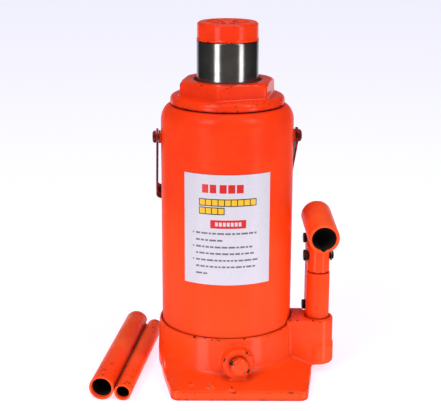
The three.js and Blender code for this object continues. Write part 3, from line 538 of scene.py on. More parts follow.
# Near-black for the insides of the bores, beyond their painted mouths.
BORE = rubber("bore_near_black", (0.012, 0.009, 0.008), 0.75)
RAM_STEEL = bright_steel("ram_steel", (0.50, 0.49, 0.48), 0.16)
TURNED_STEEL = bright_steel("turned_steel", (0.42, 0.42, 0.43), 0.30, (1, 1, 30), 0.006)
BALL_STEEL = bright_steel("ball_steel", (0.60, 0.60, 0.61), 0.10, (1, 1, 1), 0.001)
BLACKENED = dark_steel("blackened")
RUBBER = rubber("rubber")
SEAL = rubber("seal", (0.05, 0.13, 0.30), 0.42)
COPPER = copper("copper")
FILM = printed("label_film", (0.665, 0.632, 0.690))
INK_RED = printed("label_red", (0.70, 0.012, 0.010))
INK_YELLOW = printed("label_yellow", (0.90, 0.52, 0.015))
INK_BLACK = printed("label_black", (0.020, 0.018, 0.022))
INK_GREY = printed("label_grey", (0.16, 0.15, 0.19))

# ---------------------------------------------------------------- base casting

# The foot plate's corners: x, y and how far each is cut back before it is rounded.
FOOT_CORNERS = [
    (-70.5, 0, 45),
    (-52.6, -FOOT_DEPTH, 7),
    (78.2, -FOOT_DEPTH, 8),
    (90.5, 0, 45),
    (78.2, FOOT_DEPTH, 8),
    (-52.6, FOOT_DEPTH, 7),
]
FOOT_STEP = 2.5
FOOT_EDGE_Z = 10.3
FOOT_EDGE_ROUND = 1.8
FOOT_SLOPE = 0.33
NECK_FOOT_R = 69.5
NECK_FOOT_Z = 17.5
NECK_TOP_Z = 53.5
ARM_BOTTOM_Z = 9
ARM_TOP_Z = 57
RELEASE_BOSS_R = 15.5
RELEASE_FACE = 79
# Lumps that the mould left on the plate's front: x, y, radius and rise.
LUMPS = ((-15.5, -84.5, 5.5, 1.6), (4.5, -88.5, 2.6, 1.4), (-33, -82, 3.4, 1.0))


def foot_outline():
    """The plate's edge: corners cut back and rounded, then a point every 2.5 mm or so."""
    coarse = []
    for i, (x, y, cut_back) in enumerate(FOOT_CORNERS):
        here = Vector((x, y))
        last = Vector(FOOT_CORNERS[i - 1][:2])
        following = Vector(FOOT_CORNERS[(i + 1) % len(FOOT_CORNERS)][:2])
        start = here + (last - here).normalized() * cut_back
        end = here + (following - here).normalized() * cut_back
        for k in range(9):
            t = k / 8
            coarse.append(start * (1 - t) ** 2 + here * (2 * t * (1 - t)) + end * t ** 2)
    fine = []
    for i, a in enumerate(coarse):
        b = coarse[(i + 1) % len(coarse)]
        count = max(1, round((b - a).length / FOOT_STEP))
        fine += [a.lerp(b, k / count) for k in range(count)]
    return fine


def foot_plate():
    """Rings of the outline, from the floor over the rounded edge and up the slope to the neck."""
    outline = foot_outline()

    def level(z, radius_of):
        return [Vector((*(p.normalized() * radius_of(p.length)), z)) for p in outline]

    rings = [
        level(0, lambda r: r - 0.8),
        level(0.8, lambda r: r),
        level(8.8, lambda r: r),
        level(9.7, lambda r: r - 0.5),
        level(FOOT_EDGE_Z, lambda r: r - FOOT_EDGE_ROUND),
        level(NECK_FOOT_Z, lambda r: min(72.5, r - 2)),
        level(22.5, lambda r: 66.5),
    ]
    count = len(outline)
    points = [p for ring in rings for p in ring]
    faces = []
    for k in range(len(rings) - 1):
        for i in range(count):
            a, b = k * count + i, k * count + (i + 1) % count
            faces.append([a, b, b + count, a + count])
    last = (len(rings) - 1) * count
    faces += [list(range(count)), list(range(last, last + count))]
    return new_piece("base_casting_cast", points, faces)


def link_lug():
    """The plate behind the pump that carries the link's foot pin."""
    y, z = LINK_FOOT_PIVOT
    eye = arc((y + LINK_PLAY, z), LINK_EYE_R, 0, 90, 10)
    outline = [(10, 30), (y + LINK_PLAY + LINK_EYE_R, 38), *eye, (10, ARM_TOP_Z)]
    return prism("lug", outline, -3.6, 3.6, PUMP_PLACE @ UPRIGHT)


def lug_slot():
    """The foot pin's hole, a little longer than round."""
    y, z = LINK_FOOT_PIVOT
    back = arc((y, z), EYE_R, 90, 270, 12)
    front = arc((y + LINK_PLAY, z), EYE_R, -90, 90, 12)
    return prism("slot", back + front, -10, 10, PUMP_PLACE @ UPRIGHT)


def lump(x, y, r, rise):
    crown = FOOT_EDGE_Z + (FOOT_DEPTH - FOOT_EDGE_ROUND + y) * FOOT_SLOPE
    place = Matrix.Translation((x, y, crown))
    return lathe("lump", [[0, -4], [r, -4], [r, 0.0], [r * 0.6, rise, 1.0], [0, rise]], 24, place)


def base_casting():
    at_pump = Matrix.Translation((PUMP_X, PUMP_Y, 0))
    release = on_radius(RELEASE_ANGLE, VALVE_Z)
    overload = on_radius(BACK_ANGLE, VALVE_Z)
    neck = [
        [0, 5],
        [NECK_FOOT_R, 5],
        [NECK_FOOT_R, NECK_FOOT_Z],
        [68, NECK_TOP_Z - 2, 3],
        [67.4, NECK_TOP_Z, 1],
        [0, NECK_TOP_Z],
    ]
    body = fuse(
        foot_plate(),
        lathe("neck", neck, 128),
        block("arm", (40, PUMP_X), (-26, 6), (ARM_BOTTOM_Z, ARM_TOP_Z)),
        block("arm_back", (40, 78), (-10, 11), (ARM_BOTTOM_Z, ARM_TOP_Z)),
        rod("boss", 16, ARM_BOTTOM_Z, ARM_TOP_Z, at_pump, 72, 1.2),
        rod("boss_foot", 17, ARM_BOTTOM_Z, 30, at_pump, 72, 1.0),
        link_lug(),
        rod("release_boss", RELEASE_BOSS_R, 50, RELEASE_FACE, release, 64, 1.0),
        *(lump(*row) for row in LUMPS),
    )
    carve(
        body,
        rod("tank_seat", TANK_R + GAP, 50, 70, steps=128),
        lathe("groove", [[61.2, 46], [TANK_R + GAP, 46], [TANK_R + GAP, 51], [61.2, 51]], 128),
        rod("cylinder_seat", CYLINDER_R + GAP, 38, 70, steps=96),
        rod("well", 8, 24, 70),
        rod("pump_bore", 11.9, 22, 60, at_pump),
        rod("pump_port", 5.2, 12.5, 30, at_pump),
        rod("suction_plug_hole", 7.3, 0, 14.5, at_pump),
        rod("release_bore", 7.2, 53, 90, release),
        rod("release_seat", 3.8, 46.5, 60, release),
        rod("overload_bore", 6.2, 60, 90, overload),
        rod("overload_seat", 4.4, 46.5, 62, overload),
        lug_slot(),
    )
    return recast(body, 1.0, 13)


hand_over(base_casting(), "base", PAINT_CAST, "base_casting", 60)

# ---------------------------------------------------------------- tank, top nut and wiper

TANK_BOTTOM_Z = 49.3
SHOULDER = (54, 257)
SHOULDER_REACH = 11
SHOULDER_RISE = 15.7
TANK_WALL = 3.5
MOUTH_R = 50.3
NUT_ACROSS_FLATS = 85
NUT_CORNER_ANGLE = 19.3
NUT_FLANGE_R = 56
NUT_FLANGE_TOP_Z = 282
NUT_CHAMFER_R = 43.5


def tank():
    """A drawn shell with a rolled shoulder, and a hole at the back for the filler plug."""
    reach, rise = SHOULDER_REACH - TANK_WALL, SHOULDER_RISE - TANK_WALL
    profile = [
        [TANK_R, TANK_BOTTOM_Z],
        [TANK_R, 90],
        [TANK_R, 150],
        [TANK_R, 210],
        *arc(SHOULDER, SHOULDER_REACH, 0, 90, 14, SHOULDER_RISE),
        [MOUTH_R, TANK_TOP_Z],
        [MOUTH_R, TANK_TOP_Z - TANK_WALL],
        *arc(SHOULDER, reach, 90, 0, 10, rise),
        [TANK_R - TANK_WALL, TANK_BOTTOM_Z],
    ]
    shell = lathe("reservoir_tank_shell", profile, 160)
    return carve(shell, rod("filler_hole", 5.3, 55, 70, on_radius(BACK_ANGLE, FILLER_Z), 32))


def top_nut():
    """A round flange with a chamfered hexagon on it, its skirt inside the tank's mouth."""
    skirt = [
        [0, 250],
        [49.8, 250],
        [49.8, 273],
        [NUT_FLANGE_R, 273, 1.4],
        [NUT_FLANGE_R, NUT_FLANGE_TOP_Z, 5.2],
        [0, NUT_FLANGE_TOP_Z],
    ]
    corner_r = NUT_ACROSS_FLATS / 2 / math.cos(math.radians(30))
    hexagon = arc((0, 0), corner_r, NUT_CORNER_ANGLE, NUT_CORNER_ANGLE + 300, 5)
    head = prism("hexagon", hexagon, NUT_FLANGE_TOP_Z - 1, NUT_TOP_Z)
    chamfer = [[0, 200], [80, 200], [80, 277], [NUT_CHAMFER_R, NUT_TOP_Z], [0, NUT_TOP_Z]]
    keep_common(head, lathe("chamfer", chamfer, 96))
    body = fuse(lathe("top_nut_cast", skirt, 128), head)
    carve(
        body,
        rod("ram_bore", RAM_R + GAP, 249, 300, steps=96),
        rod("cylinder_bore", CYLINDER_R + GAP, 249, 270.3, steps=96),
        rod("wiper_seat", 32.5, 291, 300, steps=96),
        lathe("seal_groove", [[50.8, 270], [53.9, 270], [53.9, 275], [50.8, 275]], 96),
    )
    return recast(body, 0.8, 24)


def ram_wiper():
    inner, outer, low, high = 30.35, 32.2, 291.3, 297.4
    profile = [[inner, low], [outer, low, 0.4], [outer, 296.5, 0.4], [31.2, high, 0.3], [inner, high]]
    return lathe("ram_wiper_lip", profile, 128)


hand_over(tank(), "base", PAINT_ROLLED, "reservoir_tank", 40)
hand_over(top_nut(), "base", PAINT_CAST, "top_nut", 120)
hand_over(ram_wiper(), "base", RUBBER, "ram_wiper")

# ---------------------------------------------------------------- ram and saddle

PISTON_R = 35.7
TAIL_R = 11.7
SPIGOT_R = 12
SPIGOT_LENGTH = 15
DISH_DEPTH = 1.5
RIB_COUNT = 12


def ram():
    """The ground bar, with its piston and tail inside and the saddle's socket in its top."""
    socket_r = SPIGOT_R + GAP
    socket_z = RAM_TOP_Z - SPIGOT_LENGTH - GAP
    profile = [
        [0, 72.3],
        [TAIL_R, 72.3, 1],
        [TAIL_R, 93.5],
        [PISTON_R, 93.5, 1],
        [PISTON_R, 111, 1],
        [RAM_R, 113, 0.5],
        [RAM_R, 150],
        [RAM_R, 250],
        [RAM_R, RAM_TOP_Z, 0.6],
        [socket_r, RAM_TOP_Z],
        [socket_r, socket_z],
        [0, socket_z],
    ]
    return lathe("ram_ground", profile, 160)


def saddle():
    """A cap with a cast lip round its foot and raised ribs in its shallow dish."""
    seat = RAM_TOP_Z + GAP
    lip_r = SADDLE_R + 0.7
    dish_z = SADDLE_TOP_Z - DISH_DEPTH
    profile = [
        [0, seat - SPIGOT_LENGTH],
        [SPIGOT_R, seat - SPIGOT_LENGTH, 1],
        [SPIGOT_R, seat],
        [lip_r, seat, 0.5],
        [lip_r, seat + 1.5, 0.6],
        [SADDLE_R, seat + 2.7, 0.8],
        [SADDLE_R, SADDLE_TOP_Z - 1.6, 1.0],
        [SADDLE_R - 1.9, SADDLE_TOP_Z, 1.0],
        [21, SADDLE_TOP_Z, 0.4],
        [20.4, dish_z, 0.4],
        [0, dish_z],
    ]
    body = lathe("saddle_cast", profile, 128)
    fuse(body, rod("hub", 5, SADDLE_TOP_Z - 3, SADDLE_TOP_Z, edge=0.5))
    for i in range(RIB_COUNT):
        turn = Matrix.Rotation(2 * math.pi * i / RIB_COUNT, 4, "Z")
        fuse(body, block("rib", (7, 18), (-1.2, 1.2), (SADDLE_TOP_Z - 3, SADDLE_TOP_Z), turn))
    return recast(body, 0.42, 5)


hand_over(ram(), "ram", RAM_STEEL, "ram", 35)
hand_over(saddle(), "ram", PAINT_CAST, "saddle", 60)

# ---------------------------------------------------------------- pump and linkage

PLUNGER_R = 7
HEAD_R = 11
HEAD_BOTTOM_Z = 104.6
HEAD_SLOT_Z = 107.2
SOCKET_R = 15.2
SOCKET_BORE_R = 12
SOCKET_HALF = 60.5 / 2
SOCKET_TILT = math.radians(7.6)
SOCKET_PLACE = (
    PUMP_PLACE @ Matrix.Translation((0, -5, 152)) @ Matrix.Rotation(SOCKET_TILT - math.pi / 2, 4, "X")
)
TONGUE_EYE_R = 8.5
LINK_INNER_X = 3.9
LINK_THICKNESS = 5


def cross_bar(name, r, start, end, pivot):
    """A round bar along the pump's own X axis, through a pivot."""
    place = PUMP_PLACE @ Matrix.Translation((0, *pivot)) @ ALONG_X
    return rod(name, r, start, end, place, 40)


def pump_cylinder():
    outer, bore, low, floor = 11.6, PLUNGER_R + GAP, 24, 28
    profile = [
        [3, low],
        [outer, low],
        [outer, 60],
        [outer, PUMP_CYLINDER_TOP_Z, 1.0],
        [bore, PUMP_CYLINDER_TOP_Z, 0.3],
        [bore, floor],
        [3, floor],
    ]
    return lathe("pump_cylinder_sleeve", profile, 80, PUMP_PLACE)


def plunger():
    """A round bar with a groove for its seal and a wide head, slotted for the socket's tongue."""
    body = rod("pump_plunger_fork", PLUNGER_R, 32, HEAD_BOTTOM_Z + 1.4, PUMP_PLACE, 64)
    head = [[0, HEAD_BOTTOM_Z], [HEAD_R, HEAD_BOTTOM_Z, 1.2], [HEAD_R, HEAD_TOP_Z, 2.4], [0, HEAD_TOP_Z]]
    fuse(body, lathe("head", head, 72, PUMP_PLACE))
    carve(
        body,
        block("fork", (-3.9, 3.9), (-9.1, 20), (HEAD_SLOT_Z, 140), PUMP_PLACE),
        cross_bar("eye", EYE_R, -20, 20, PLUNGER_PIVOT),
        lathe("seal_groove", [[5, 36], [10, 36], [10, 42], [5, 42]], 48, PUMP_PLACE),
    )
    return recast(body, 0.5, 4)


def handle_socket():
    """A plate rolled into a tube, its seam open below, with a tongue that carries both pins."""
    tube = rod("handle_socket_rolled", SOCKET_R, -SOCKET_HALF, SOCKET_HALF, SOCKET_PLACE, 96)
    front = arc(PLUNGER_PIVOT, TONGUE_EYE_R, 180, 289.8, 12)
    back = arc(LINK_TOP_PIVOT, TONGUE_EYE_R, -70.2, 27, 12)
    tongue = [(-8.5, 137.5), *front, *back, (24, 142)]
    fuse(tube, prism("tongue", tongue, -3.4, 3.4, PUMP_PLACE @ UPRIGHT))
    seam = [(-4.5, -10.5), (0, -14.2), (4.5, -10.5)]
    below = SOCKET_PLACE @ Matrix.Rotation(math.pi, 4, "Z")
    carve(
        tube,
        rod("bore", SOCKET_BORE_R, -SOCKET_HALF - 1, SOCKET_HALF + 1, SOCKET_PLACE, 72),
        prism("seam", seam, -SOCKET_HALF - 1, SOCKET_HALF + 1, below),
        cross_bar("plunger_eye", EYE_R, -20, 20, PLUNGER_PIVOT),
        cross_bar("link_eye", EYE_R, -20, 20, LINK_TOP_PIVOT),
    )
    return recast(tube, 0.55, 4)


def in_socket_bore(p):
    """Beyond the mouth's painted edge, in the round bore or in the open seam below it."""
    round_bore = math.hypot(p.x, p.y) < SOCKET_BORE_R + 0.6
    open_seam = abs(p.x) < 4.6 and 8 < p.y < 14.6
    return abs(p.z) < SOCKET_HALF - 0.65 and (round_bore or open_seam)


def pin(name, pivot, head_x, head_r, head_length, end_x):
    """A headed pin along X, its length measured from the pump's plane."""
    length = end_x - head_x
    profile = [
        [0, 0],
        [head_r, 0, 0.6],
        [head_r, head_length, 0.4],
        [PIN_R, head_length],
        [PIN_R, length, 0.7],
        [0, length],
    ]
    place = PUMP_PLACE @ Matrix.Translation((head_x, *pivot)) @ ALONG_X
    return lathe(name, profile, 48, place)


def link_plate(name, x):
    top = arc(LINK_TOP_PIVOT, LINK_EYE_R, 0, 180, 20)
    low = arc(LINK_FOOT_PIVOT, LINK_EYE_R, 180, 360, 20)
    plate = prism(name, top + low, x, x + LINK_THICKNESS, PUMP_PLACE @ UPRIGHT)
    for pivot in (LINK_TOP_PIVOT, LINK_FOOT_PIVOT):
        carve(plate, cross_bar("eye", EYE_R, x - 1, x + LINK_THICKNESS + 1, pivot))
    return bevel(plate, 0.6)


hand_over(pump_cylinder(), "base", PAINT_ROLLED, "pump_cylinder")
hand_over(plunger(), "plunger", PAINT_CAST, "pump_plunger", 60)
handle = handle_socket()
hand_over(handle, "socket", [PAINT_TUBE, BORE], "handle_socket", 60)
line_bore(handle, SOCKET_PLACE, in_socket_bore)
PLUNGER_PIN = pin("plunger_pin_headed", PLUNGER_PIVOT, -15.3, 5.5, 4, 14.8)
hand_over(PLUNGER_PIN, "plunger", BLACKENED, "plunger_pin")
for node, pivot in (("link_top_pin", LINK_TOP_PIVOT), ("link_foot_pin", LINK_FOOT_PIVOT)):
    link_pin = pin(node + "_headed", pivot, -12.2, 5, 3, 11.6)
    hand_over(link_pin, "link", BLACKENED, node)
for word, x in (("left", -LINK_INNER_X - LINK_THICKNESS), ("right", LINK_INNER_X)):
    node = "link_plate_" + word
    hand_over(link_plate(node + "_forged", x), "link", PAINT_ROLLED, node)

# ---------------------------------------------------------------- release valve, overload screw, filler plug

RELEASE_SCREW_R = 6.7
RELEASE_NECK_R = 4.8
RELEASE_HEAD_R = 8.5
RELEASE_PIN_AT = 84
RELEASE_PIN_TURN = math.radians(60)


def release_screw():
    """The screw and the bar through its head, as two pieces."""
    profile = [
        [0, 53.1],
        [2.5, 53.1],
        [3.2, 54.5],
        [RELEASE_SCREW_R, 56],
        [RELEASE_SCREW_R, 68],
        [RELEASE_NECK_R, 68],
        [RELEASE_NECK_R, 71.5],
        [RELEASE_SCREW_R, 71.5],
        [RELEASE_SCREW_R, RELEASE_FACE + GAP],
        [RELEASE_HEAD_R, RELEASE_FACE + GAP, 0.4],
        [RELEASE_HEAD_R, 86.5, 1.2],
        [6.4, 88, 1.2],
        [0, 88],
    ]
    place = on_radius(RELEASE_ANGLE, VALVE_Z)
    screw = lathe("release_valve_screw", profile, 64, place)
    tilt = Matrix.Rotation(RELEASE_PIN_TURN, 4, "Z")
    across = place @ tilt @ Matrix.Translation((0, 0, RELEASE_PIN_AT)) @ ALONG_X
    carve(screw, rod("pin_hole", 2.3, -12, 12, across, 32))
    bar = rod("release_valve_pin_bar", 2, -11, 11, across, 32, 0.5)
    return bevel(screw, 0.25, 2, 40), bar


def overload_screw():
    place = on_radius(BACK_ANGLE, VALVE_Z)
    screw = rod("overload_screw_slotted", 5.7, 60.4, 68.2, place, 48, 0.5)
    return carve(screw, block("slot", (-7, 7), (-0.8, 0.8), (66.5, 70), place))


def filler_plug():
    """A rubber plug with a domed flange outside the tank."""
    stem, flange = [[4.9, 60, 0.4], [4.9, 65.5]], [[8, 65.5, 0.4], [8, 68, 0.8], [6.5, 70, 0.7]]
    profile = [[0, 60], *stem, *flange, [0, 70]]
    return lathe("filler_plug_moulded", profile, 64, on_radius(BACK_ANGLE, FILLER_Z))


screw, bar = release_screw()
hand_over(screw, "release_valve", PAINT_CAST, "release_valve", 40)
hand_over(bar, "release_valve", BLACKENED, "release_valve_pin")
hand_over(overload_screw(), "base", TURNED_STEEL, "overload_screw")
hand_over(filler_plug(), "filler_plug", RUBBER, "filler_plug")

# ---------------------------------------------------------------- bail

BAIL_DROOP = math.radians(46)
BAIL_HALF_SPAN = 69.5
BAIL_REACH = 105
BAIL_STOCK = 2
BAIL_HALF_WIDTH = 16.5 / 2
BAIL_BEND_R = 9
BOLT_HOLE_R = 3.3


def u_shape(half, low, reach, bend_r):
    """A rectangle with its two far corners rounded."""
    corners = [(-half, low), (half, low), (half, reach, bend_r), (-half, reach, bend_r)]
    return rounded(corners, closed=True, steps=12)


def bail_strap():
    """A flat strap bent into a U, its ends rounded about the bolts."""
    half = BAIL_HALF_WIDTH
    outer = u_shape(BAIL_HALF_SPAN, -half, BAIL_REACH, BAIL_BEND_R)
    strap = prism("bail_strap", outer, -half, half)
    inner = u_shape(
        BAIL_HALF_SPAN - BAIL_STOCK, -half - 1, BAIL_REACH - BAIL_STOCK, BAIL_BEND_R - BAIL_STOCK
    )
    carve(strap, prism("inside", inner, -half - 1, half + 1))
    side = [*arc((0, 0), half, 90, 270, 24), (114, -half), (114, half)]
    keep_common(strap, prism("side", side, -72, 72, UPRIGHT))
    carve(strap, rod("bolt_hole", BOLT_HOLE_R, -72, 72, ALONG_X, 40))
    bevel(strap, 0.45, 2, 50)
    strap.data.transform(BAIL_PLACE @ Matrix.Rotation(-BAIL_DROOP, 4, "X"))
    return strap


def bail_bolt(name, outwards):
    """A domed bolt, its shank in the boss and its head outside the strap."""
    shank, head = [[3, 65.8], [3, 69.8]], [[6, 69.8, 0.5], [6, 71.8, 0.6], [4.5, 73.2, 0.6]]
    return lathe(name, [[0, 65.8], *shank, *head, [0, 73.4]], 48, outwards)


def bail_boss(name, outwards):
    """A round stud welded to the tank, cut to its curve."""
    return carve(
        rod(name, 6.5, 58, 67.2, outwards, 48, 0.4),
        rod("tank_curve", TANK_R + GAP, 220, 260, steps=160),
        rod("bolt_hole", BOLT_HOLE_R, -80, 80, BAIL_PLACE @ ALONG_X, 32),
    )


hand_over(bail_strap(), "bail", PAINT_BAIL, "bail", 40)
for side, word in ((-1, "left"), (1, "right")):
    outwards = BAIL_PLACE @ Matrix.Rotation(math.pi / 2 * side, 4, "Y")
    bolt = bail_bolt(f"bail_bolt_{word}_domed", outwards)
    hand_over(bolt, "base", PAINT_BAIL, "bail_bolt_" + word)
    boss = bail_boss(f"bail_boss_{word}_stud", outwards)
    hand_over(boss, "base", PAINT_ROLLED, "bail_boss_" + word)

# ---------------------------------------------------------------- label

LABEL_R = (65.3, 65.6)
LABEL_HALF = math.radians(38.2)
LABEL_Z = (107.8, 216.5)
LABEL_COLUMNS = 48
WIDTH = 2 * LABEL_HALF * LABEL_R[1]
HEIGHT = LABEL_Z[1] - LABEL_Z[0]
INKS = [FILM, INK_RED, INK_YELLOW, INK_BLACK, INK_GREY]
PAPER, RED, YELLOW, BLACK, GREY = range(len(INKS))
# Where each line of small print ends, and its height above the label's lower edge.
TEXT_LINES = ((74.8, 51.4), (40.2, 44.6), (69.3, 37.9), (70.4, 31.4), (76, 24.7), (74.8, 18.2), (27, 11.2))
DOTTED_LINES = (0, 2, 4)  # the lines that start with a dot


def words(left, right, low, high, seed, ink, shortest=2.2, longest=7.0, gap=1.1):
    """A line of plain blocks as long as words, with no letters."""
    rng = random.Random(seed)
    out = []
    at = left
    while at < right - shortest:
        end = min(at + rng.uniform(shortest, longest), right)
        out.append((at, end, low, high, ink))
        at = end + gap
    return out


def row_of_blocks(left, right, low, high, count, ink, gap=1.0):
    """Equal plain blocks side by side."""
    width = (right - left + gap) / count
    return [(left + width * i, left + width * (i + 1) - gap, low, high, ink) for i in range(count)]


def label_print():
    """Rectangles (left, right, low, high, ink) on the flat label, from its lower left; the last wins."""
    middle = WIDTH / 2
    marks = row_of_blocks(middle - 24.4, middle - 10.5, 91, 99.3, 2, RED, 1.4)
    marks += row_of_blocks(middle - 7.3, middle + 15.6, 91, 99.3, 3, RED, 1.4)
    for right, low, count in ((28.6, 78.2, 9), (-2.5, 70.0, 4)):
        left, edge = -27.5, 0.8
        marks.append((middle + left, middle + right, low, low + 7.2, BLACK))
        marks += row_of_blocks(
            middle + left + edge, middle + right - edge, low + 0.9, low + 6.3, count, YELLOW, 0.9
        )
    marks.append((middle - 16.2, middle + 18.3, 56.5, 64.8, RED))
    marks += row_of_blocks(middle - 11.5, middle + 13.6, 58.8, 62.6, 7, PAPER, 1.1)
    for i, (right, height) in enumerate(TEXT_LINES):
        if i in DOTTED_LINES:
            marks.append((9.6, 11.0, height - 0.8, height + 0.8, GREY))
        marks += words(13, right, height - 0.9, height + 0.9, 40 + i, GREY)
    return marks


def label():
    """A thin curved sheet, cut along the edges of its marks, and the ink of each of its faces."""
    marks = label_print()
    across = {0.0, WIDTH, *(m[i] for m in marks for i in (0, 1))}
    across = sorted(across | {WIDTH * k / LABEL_COLUMNS for k in range(LABEL_COLUMNS + 1)})
    up = sorted({0.0, HEIGHT, *(m[i] for m in marks for i in (2, 3))})
    columns = len(across)

    def point(x, z, r):
        a = math.radians(-90) - LABEL_HALF + x / LABEL_R[1]
        return Vector((r * math.cos(a), r * math.sin(a), LABEL_Z[0] + z))

    def ink_at(x, z):
        ink = PAPER
        for left, right, low, high, mark_ink in marks:
            if left < x < right and low < z < high:
                ink = mark_ink
        return ink

    points = [point(x, z, r) for r in LABEL_R for z in up for x in across]
    back = columns * len(up)
    faces, inks = [], []
    for j in range(len(up) - 1):
        for i in range(columns - 1):
            a = j * columns + i
            faces.append([a, a + columns, a + columns + 1, a + 1])
            inks.append(PAPER)
            faces.append([back + a, back + a + 1, back + a + columns + 1, back + a + columns])
            inks.append(ink_at((across[i] + across[i + 1]) / 2, (up[j] + up[j + 1]) / 2))
    edge = list(range(columns))
    edge += [j * columns + columns - 1 for j in range(1, len(up))]
    edge += [(len(up) - 1) * columns + i for i in range(columns - 2, -1, -1)]
    edge += [j * columns for j in range(len(up) - 2, 0, -1)]
    for a, b in zip(edge, edge[1:] + edge[:1]):
        faces.append([a, b, back + b, back + a])
        inks.append(PAPER)
    return new_piece("label_sheet", points, faces), inks


sheet, sheet_inks = label()
hand_over(sheet, "base", INKS, "label", 60)
sheet.data.polygons.foreach_set("material_index", sheet_inks)

# ---------------------------------------------------------------- handle tubes

TUBE_TURN = math.radians(-7.1)
TUBE_MOUTH = 5.5
NOTCH_HALF = 2.5
NOTCH_DEPTH = 9


def handle_tube(node, x, y, length, r, bore, notched=False):
    """A tube lying on the floor, pointing away from the front, with a slot across its far end if notched."""
    profile = [
        [bore, 0, 0.4],
        [r, 0, 0.5],
        [r, length * 0.33],
        [r, length * 0.67],
        [r, length, 0.5],
        [bore, length, 0.4],
        [bore, length - TUBE_MOUTH],
        [bore, TUBE_MOUTH],
    ]
    tube = lathe(node + "_drawn", profile, 96)
    if notched:
        far_end = (length - NOTCH_DEPTH, length + 1)
        carve(tube, block("notch", (-20, 20), (-NOTCH_HALF, NOTCH_HALF), far_end))
    lay = Matrix.Rotation(TUBE_TURN, 4, "Z") @ Matrix.Rotation(math.radians(-90), 4, "X")
    place = Matrix.Translation((x, y, r)) @ lay
    tube.data.transform(place)
    hand_over(tube, node, [PAINT_TUBE, BORE], node)

    def in_bore(p):
        return math.hypot(p.x, p.y) < bore + 0.2 and 5 < p.z < length - 5

    line_bore(tube, place, in_bore)


handle_tube("handle_tube_upper", x=-120.2, y=-91, length=180, r=12, bore=10, notched=True)
handle_tube("handle_tube_lower", x=-99.8, y=-93, length=176, r=8.3, bore=6.5)

# ---------------------------------------------------------------- inner CAD nodes

INNER = {
    "polished_steel": BALL_STEEL,
    "machined_steel": TURNED_STEEL,
    "copper": COPPER,
    "rubber": RUBBER,
    "seal_plastic": SEAL,
}
for row in frame["record"]["subparts"]:
    inner = frame["nodes"][row["node"]]
    if not inner.hide_render:
        inner.data.materials.clear()
        inner.data.materials.append(INNER[row["material_slot"]])

# ---------------------------------------------------------------- floor, in metres

FLOOR_COLOR = (0.43, 0.45, 0.51)
FLOOR_GLOW = (0.90, 0.88, 1.0)
SEEN_GLOW = 0.77
NEAR_R = 0.40
FAR_R = 14


def stage_finish(name, bounced_glow):
    """A pale floor with a faint glow, which may light the object more or less than it shows."""
    f = Finish(name, FLOOR_COLOR, 0.6)
    f.color(f.ramp(f.grain(60, 3), [(0.3, shade_of(FLOOR_COLOR, 0.985)), (0.7, FLOOR_COLOR)]))
    f.bsdf.inputs["Specular IOR Level"].default_value = 0.2
    f.bsdf.inputs["Emission Color"].default_value = (*FLOOR_GLOW, 1)
    path = f.tree.nodes.new("ShaderNodeLightPath")
    glow = map_range(f.tree, path.outputs["Is Camera Ray"], 0, 1, bounced_glow, SEEN_GLOW)
    f.link(glow, f.bsdf.inputs["Emission Strength"])
    return f.material


def floor_ring(name, inner, outer, bounced_glow):
    """A flat ring of floor, or a disc where inner is 0."""
    steps = 96
    points, faces = [], []
    for r in (inner, outer):
        turns = [2 * math.pi * k / steps for k in range(steps)]
        points += [(r * math.cos(a), r * math.sin(a), 0) for a in turns]
    if inner == 0:
        points, faces = points[steps:], [list(range(steps))]
    else:
        faces = [[k, (k + 1) % steps, (k + 1) % steps + steps, k + steps] for k in range(steps)]
    mesh = bpy.data.meshes.new(name)
    mesh.from_pydata(points, [], faces)
    mesh.materials.append(stage_finish(name, bounced_glow))
    obj = bpy.data.objects.new(name, mesh)
    bpy.context.scene.collection.objects.link(obj)
    obj.visible_glossy = False


floor_ring("floor_near", 0, NEAR_R, bounced_glow=1.98)
floor_ring("floor_far", NEAR_R, FAR_R, bounced_glow=0.50)

# ---------------------------------------------------------------- light from around

# The room's tone in reflections, from behind the jack (0) to in front of it (1).
ROOM_TONES = [
    (0.0, (0.18, 0.165, 0.155)),
    (0.35, 0.10),
    (0.78, 0.05),
    (0.85, 0.06),
    (0.94, (0.92, 0.92, 1.0)),
]


def studio_world():
    """White to the camera, a warm fill on surfaces, and in reflections a room that is dim above."""
    world = bpy.data.worlds.new("studio")
    bpy.context.scene.world = world
    world.use_nodes = True
    tree = world.node_tree
    tree.nodes.clear()
    split = tree.nodes.new("ShaderNodeSeparateXYZ")
    direction = tree.nodes.new("ShaderNodeTexCoord").outputs["Generated"]
    tree.links.new(direction, split.inputs["Vector"])
    path = tree.nodes.new("ShaderNodeLightPath")

    def background(color, strength):
        node = tree.nodes.new("ShaderNodeBackground")
        for value, socket in ((color, node.inputs["Color"]), (strength, node.inputs["Strength"])):
            if isinstance(value, bpy.types.NodeSocket):
                tree.links.new(value, socket)
            else:
                socket.default_value = value
        return node.outputs["Background"]

    def choose(ray, otherwise, when):
        """One background for a kind of ray, and another for every other kind."""
        node = tree.nodes.new("ShaderNodeMixShader")
        tree.links.new(path.outputs[ray], node.inputs["Fac"])
        tree.links.new(otherwise, node.inputs[1])
        tree.links.new(when, node.inputs[2])
        return node.outputs["Shader"]

    room = color_ramp(tree, map_range(tree, split.outputs["Y"], -1, 1), ROOM_TONES)
    around = background(room, map_range(tree, split.outputs["Z"], 0, 0.12, 0.8, 0.14))
    fill = background((1.0, 0.98, 0.95, 1), 0.45)
    seen = background((1.0, 1.0, 1.0, 1), 1.0)
    lit = choose("Is Diffuse Ray", around, fill)
    out = tree.nodes.new("ShaderNodeOutputWorld")
    tree.links.new(choose("Is Camera Ray", lit, seen), out.inputs["Surface"])


studio_world()

# ---------------------------------------------------------------- lights and camera, in metres

AIM = Vector((0, 0, 0.18))


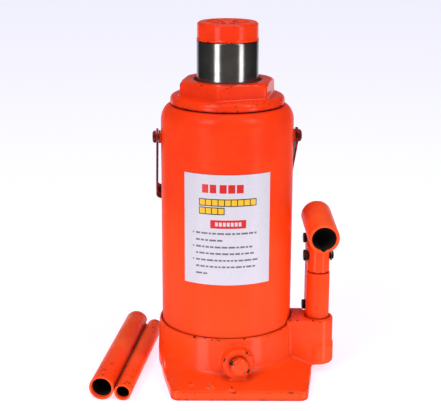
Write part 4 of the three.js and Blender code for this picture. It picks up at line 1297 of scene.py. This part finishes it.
def softbox(name, azimuth, elevation, distance, size, radiance, color=(1, 1, 1)):
    """A rectangular light facing the jack. Azimuth 0 is in front of it, and positive is to the right."""
    width, height = size
    a, e = math.radians(azimuth), math.radians(elevation)
    light = bpy.data.lights.new(name, "AREA")
    light.shape = "RECTANGLE"
    light.size = width
    light.size_y = height
    light.energy = radiance * math.pi * width * height
    light.color = color
    obj = bpy.data.objects.new(name, light)
    back = Vector((math.sin(a) * math.cos(e), -math.cos(a) * math.cos(e), math.sin(e)))
    obj.location = AIM + back * distance
    obj.rotation_mode = "QUATERNION"
    obj.rotation_quaternion = back.to_track_quat("Z", "Y")
    bpy.context.scene.collection.objects.link(obj)
    obj.visible_camera = False
    return obj


softbox("key_left", azimuth=-39, elevation=42, distance=2.2, size=(0.7, 0.9), radiance=8.2)
softbox("key_right", azimuth=51, elevation=42, distance=2.2, size=(0.55, 0.9), radiance=7.2)
softbox("overhead", 0, 86, 2.2, size=(1.8, 1.8), radiance=0.9, color=(0.98, 0.98, 1.0))
low_right = softbox("low_right", 78, 10, 1.5, size=(0.7, 0.3), radiance=1.6)
low_right.visible_glossy = False
# Two strips that only show in reflections.
strip_left = softbox("strip_left", -39, -12, 1.5, size=(0.46, 1.1), radiance=3.4)
strip_left.visible_diffuse = False
strip_right = softbox("strip_right", 51, -12, 1.5, size=(0.40, 1.1), radiance=3.0)
strip_right.visible_diffuse = False

CAMERA_PLACE = (-0.00636, -1.1515, 0.4897)
CAMERA_DIP = math.radians(15.56)
CAMERA_ROLL = math.radians(0.22)

camera = bpy.data.cameras.new("camera")
camera.lens = 97.8
camera.sensor_width = 36
camera_object = bpy.data.objects.new("camera", camera)
pitch = Matrix.Rotation(math.pi / 2 - CAMERA_DIP, 4, "X")
roll = Matrix.Rotation(CAMERA_ROLL, 4, "Z")
camera_object.matrix_world = Matrix.Translation(CAMERA_PLACE) @ pitch @ roll
bpy.context.scene.collection.objects.link(camera_object)
bpy.context.scene.camera = camera_object
bpy.context.scene.view_settings.view_transform = "Standard"
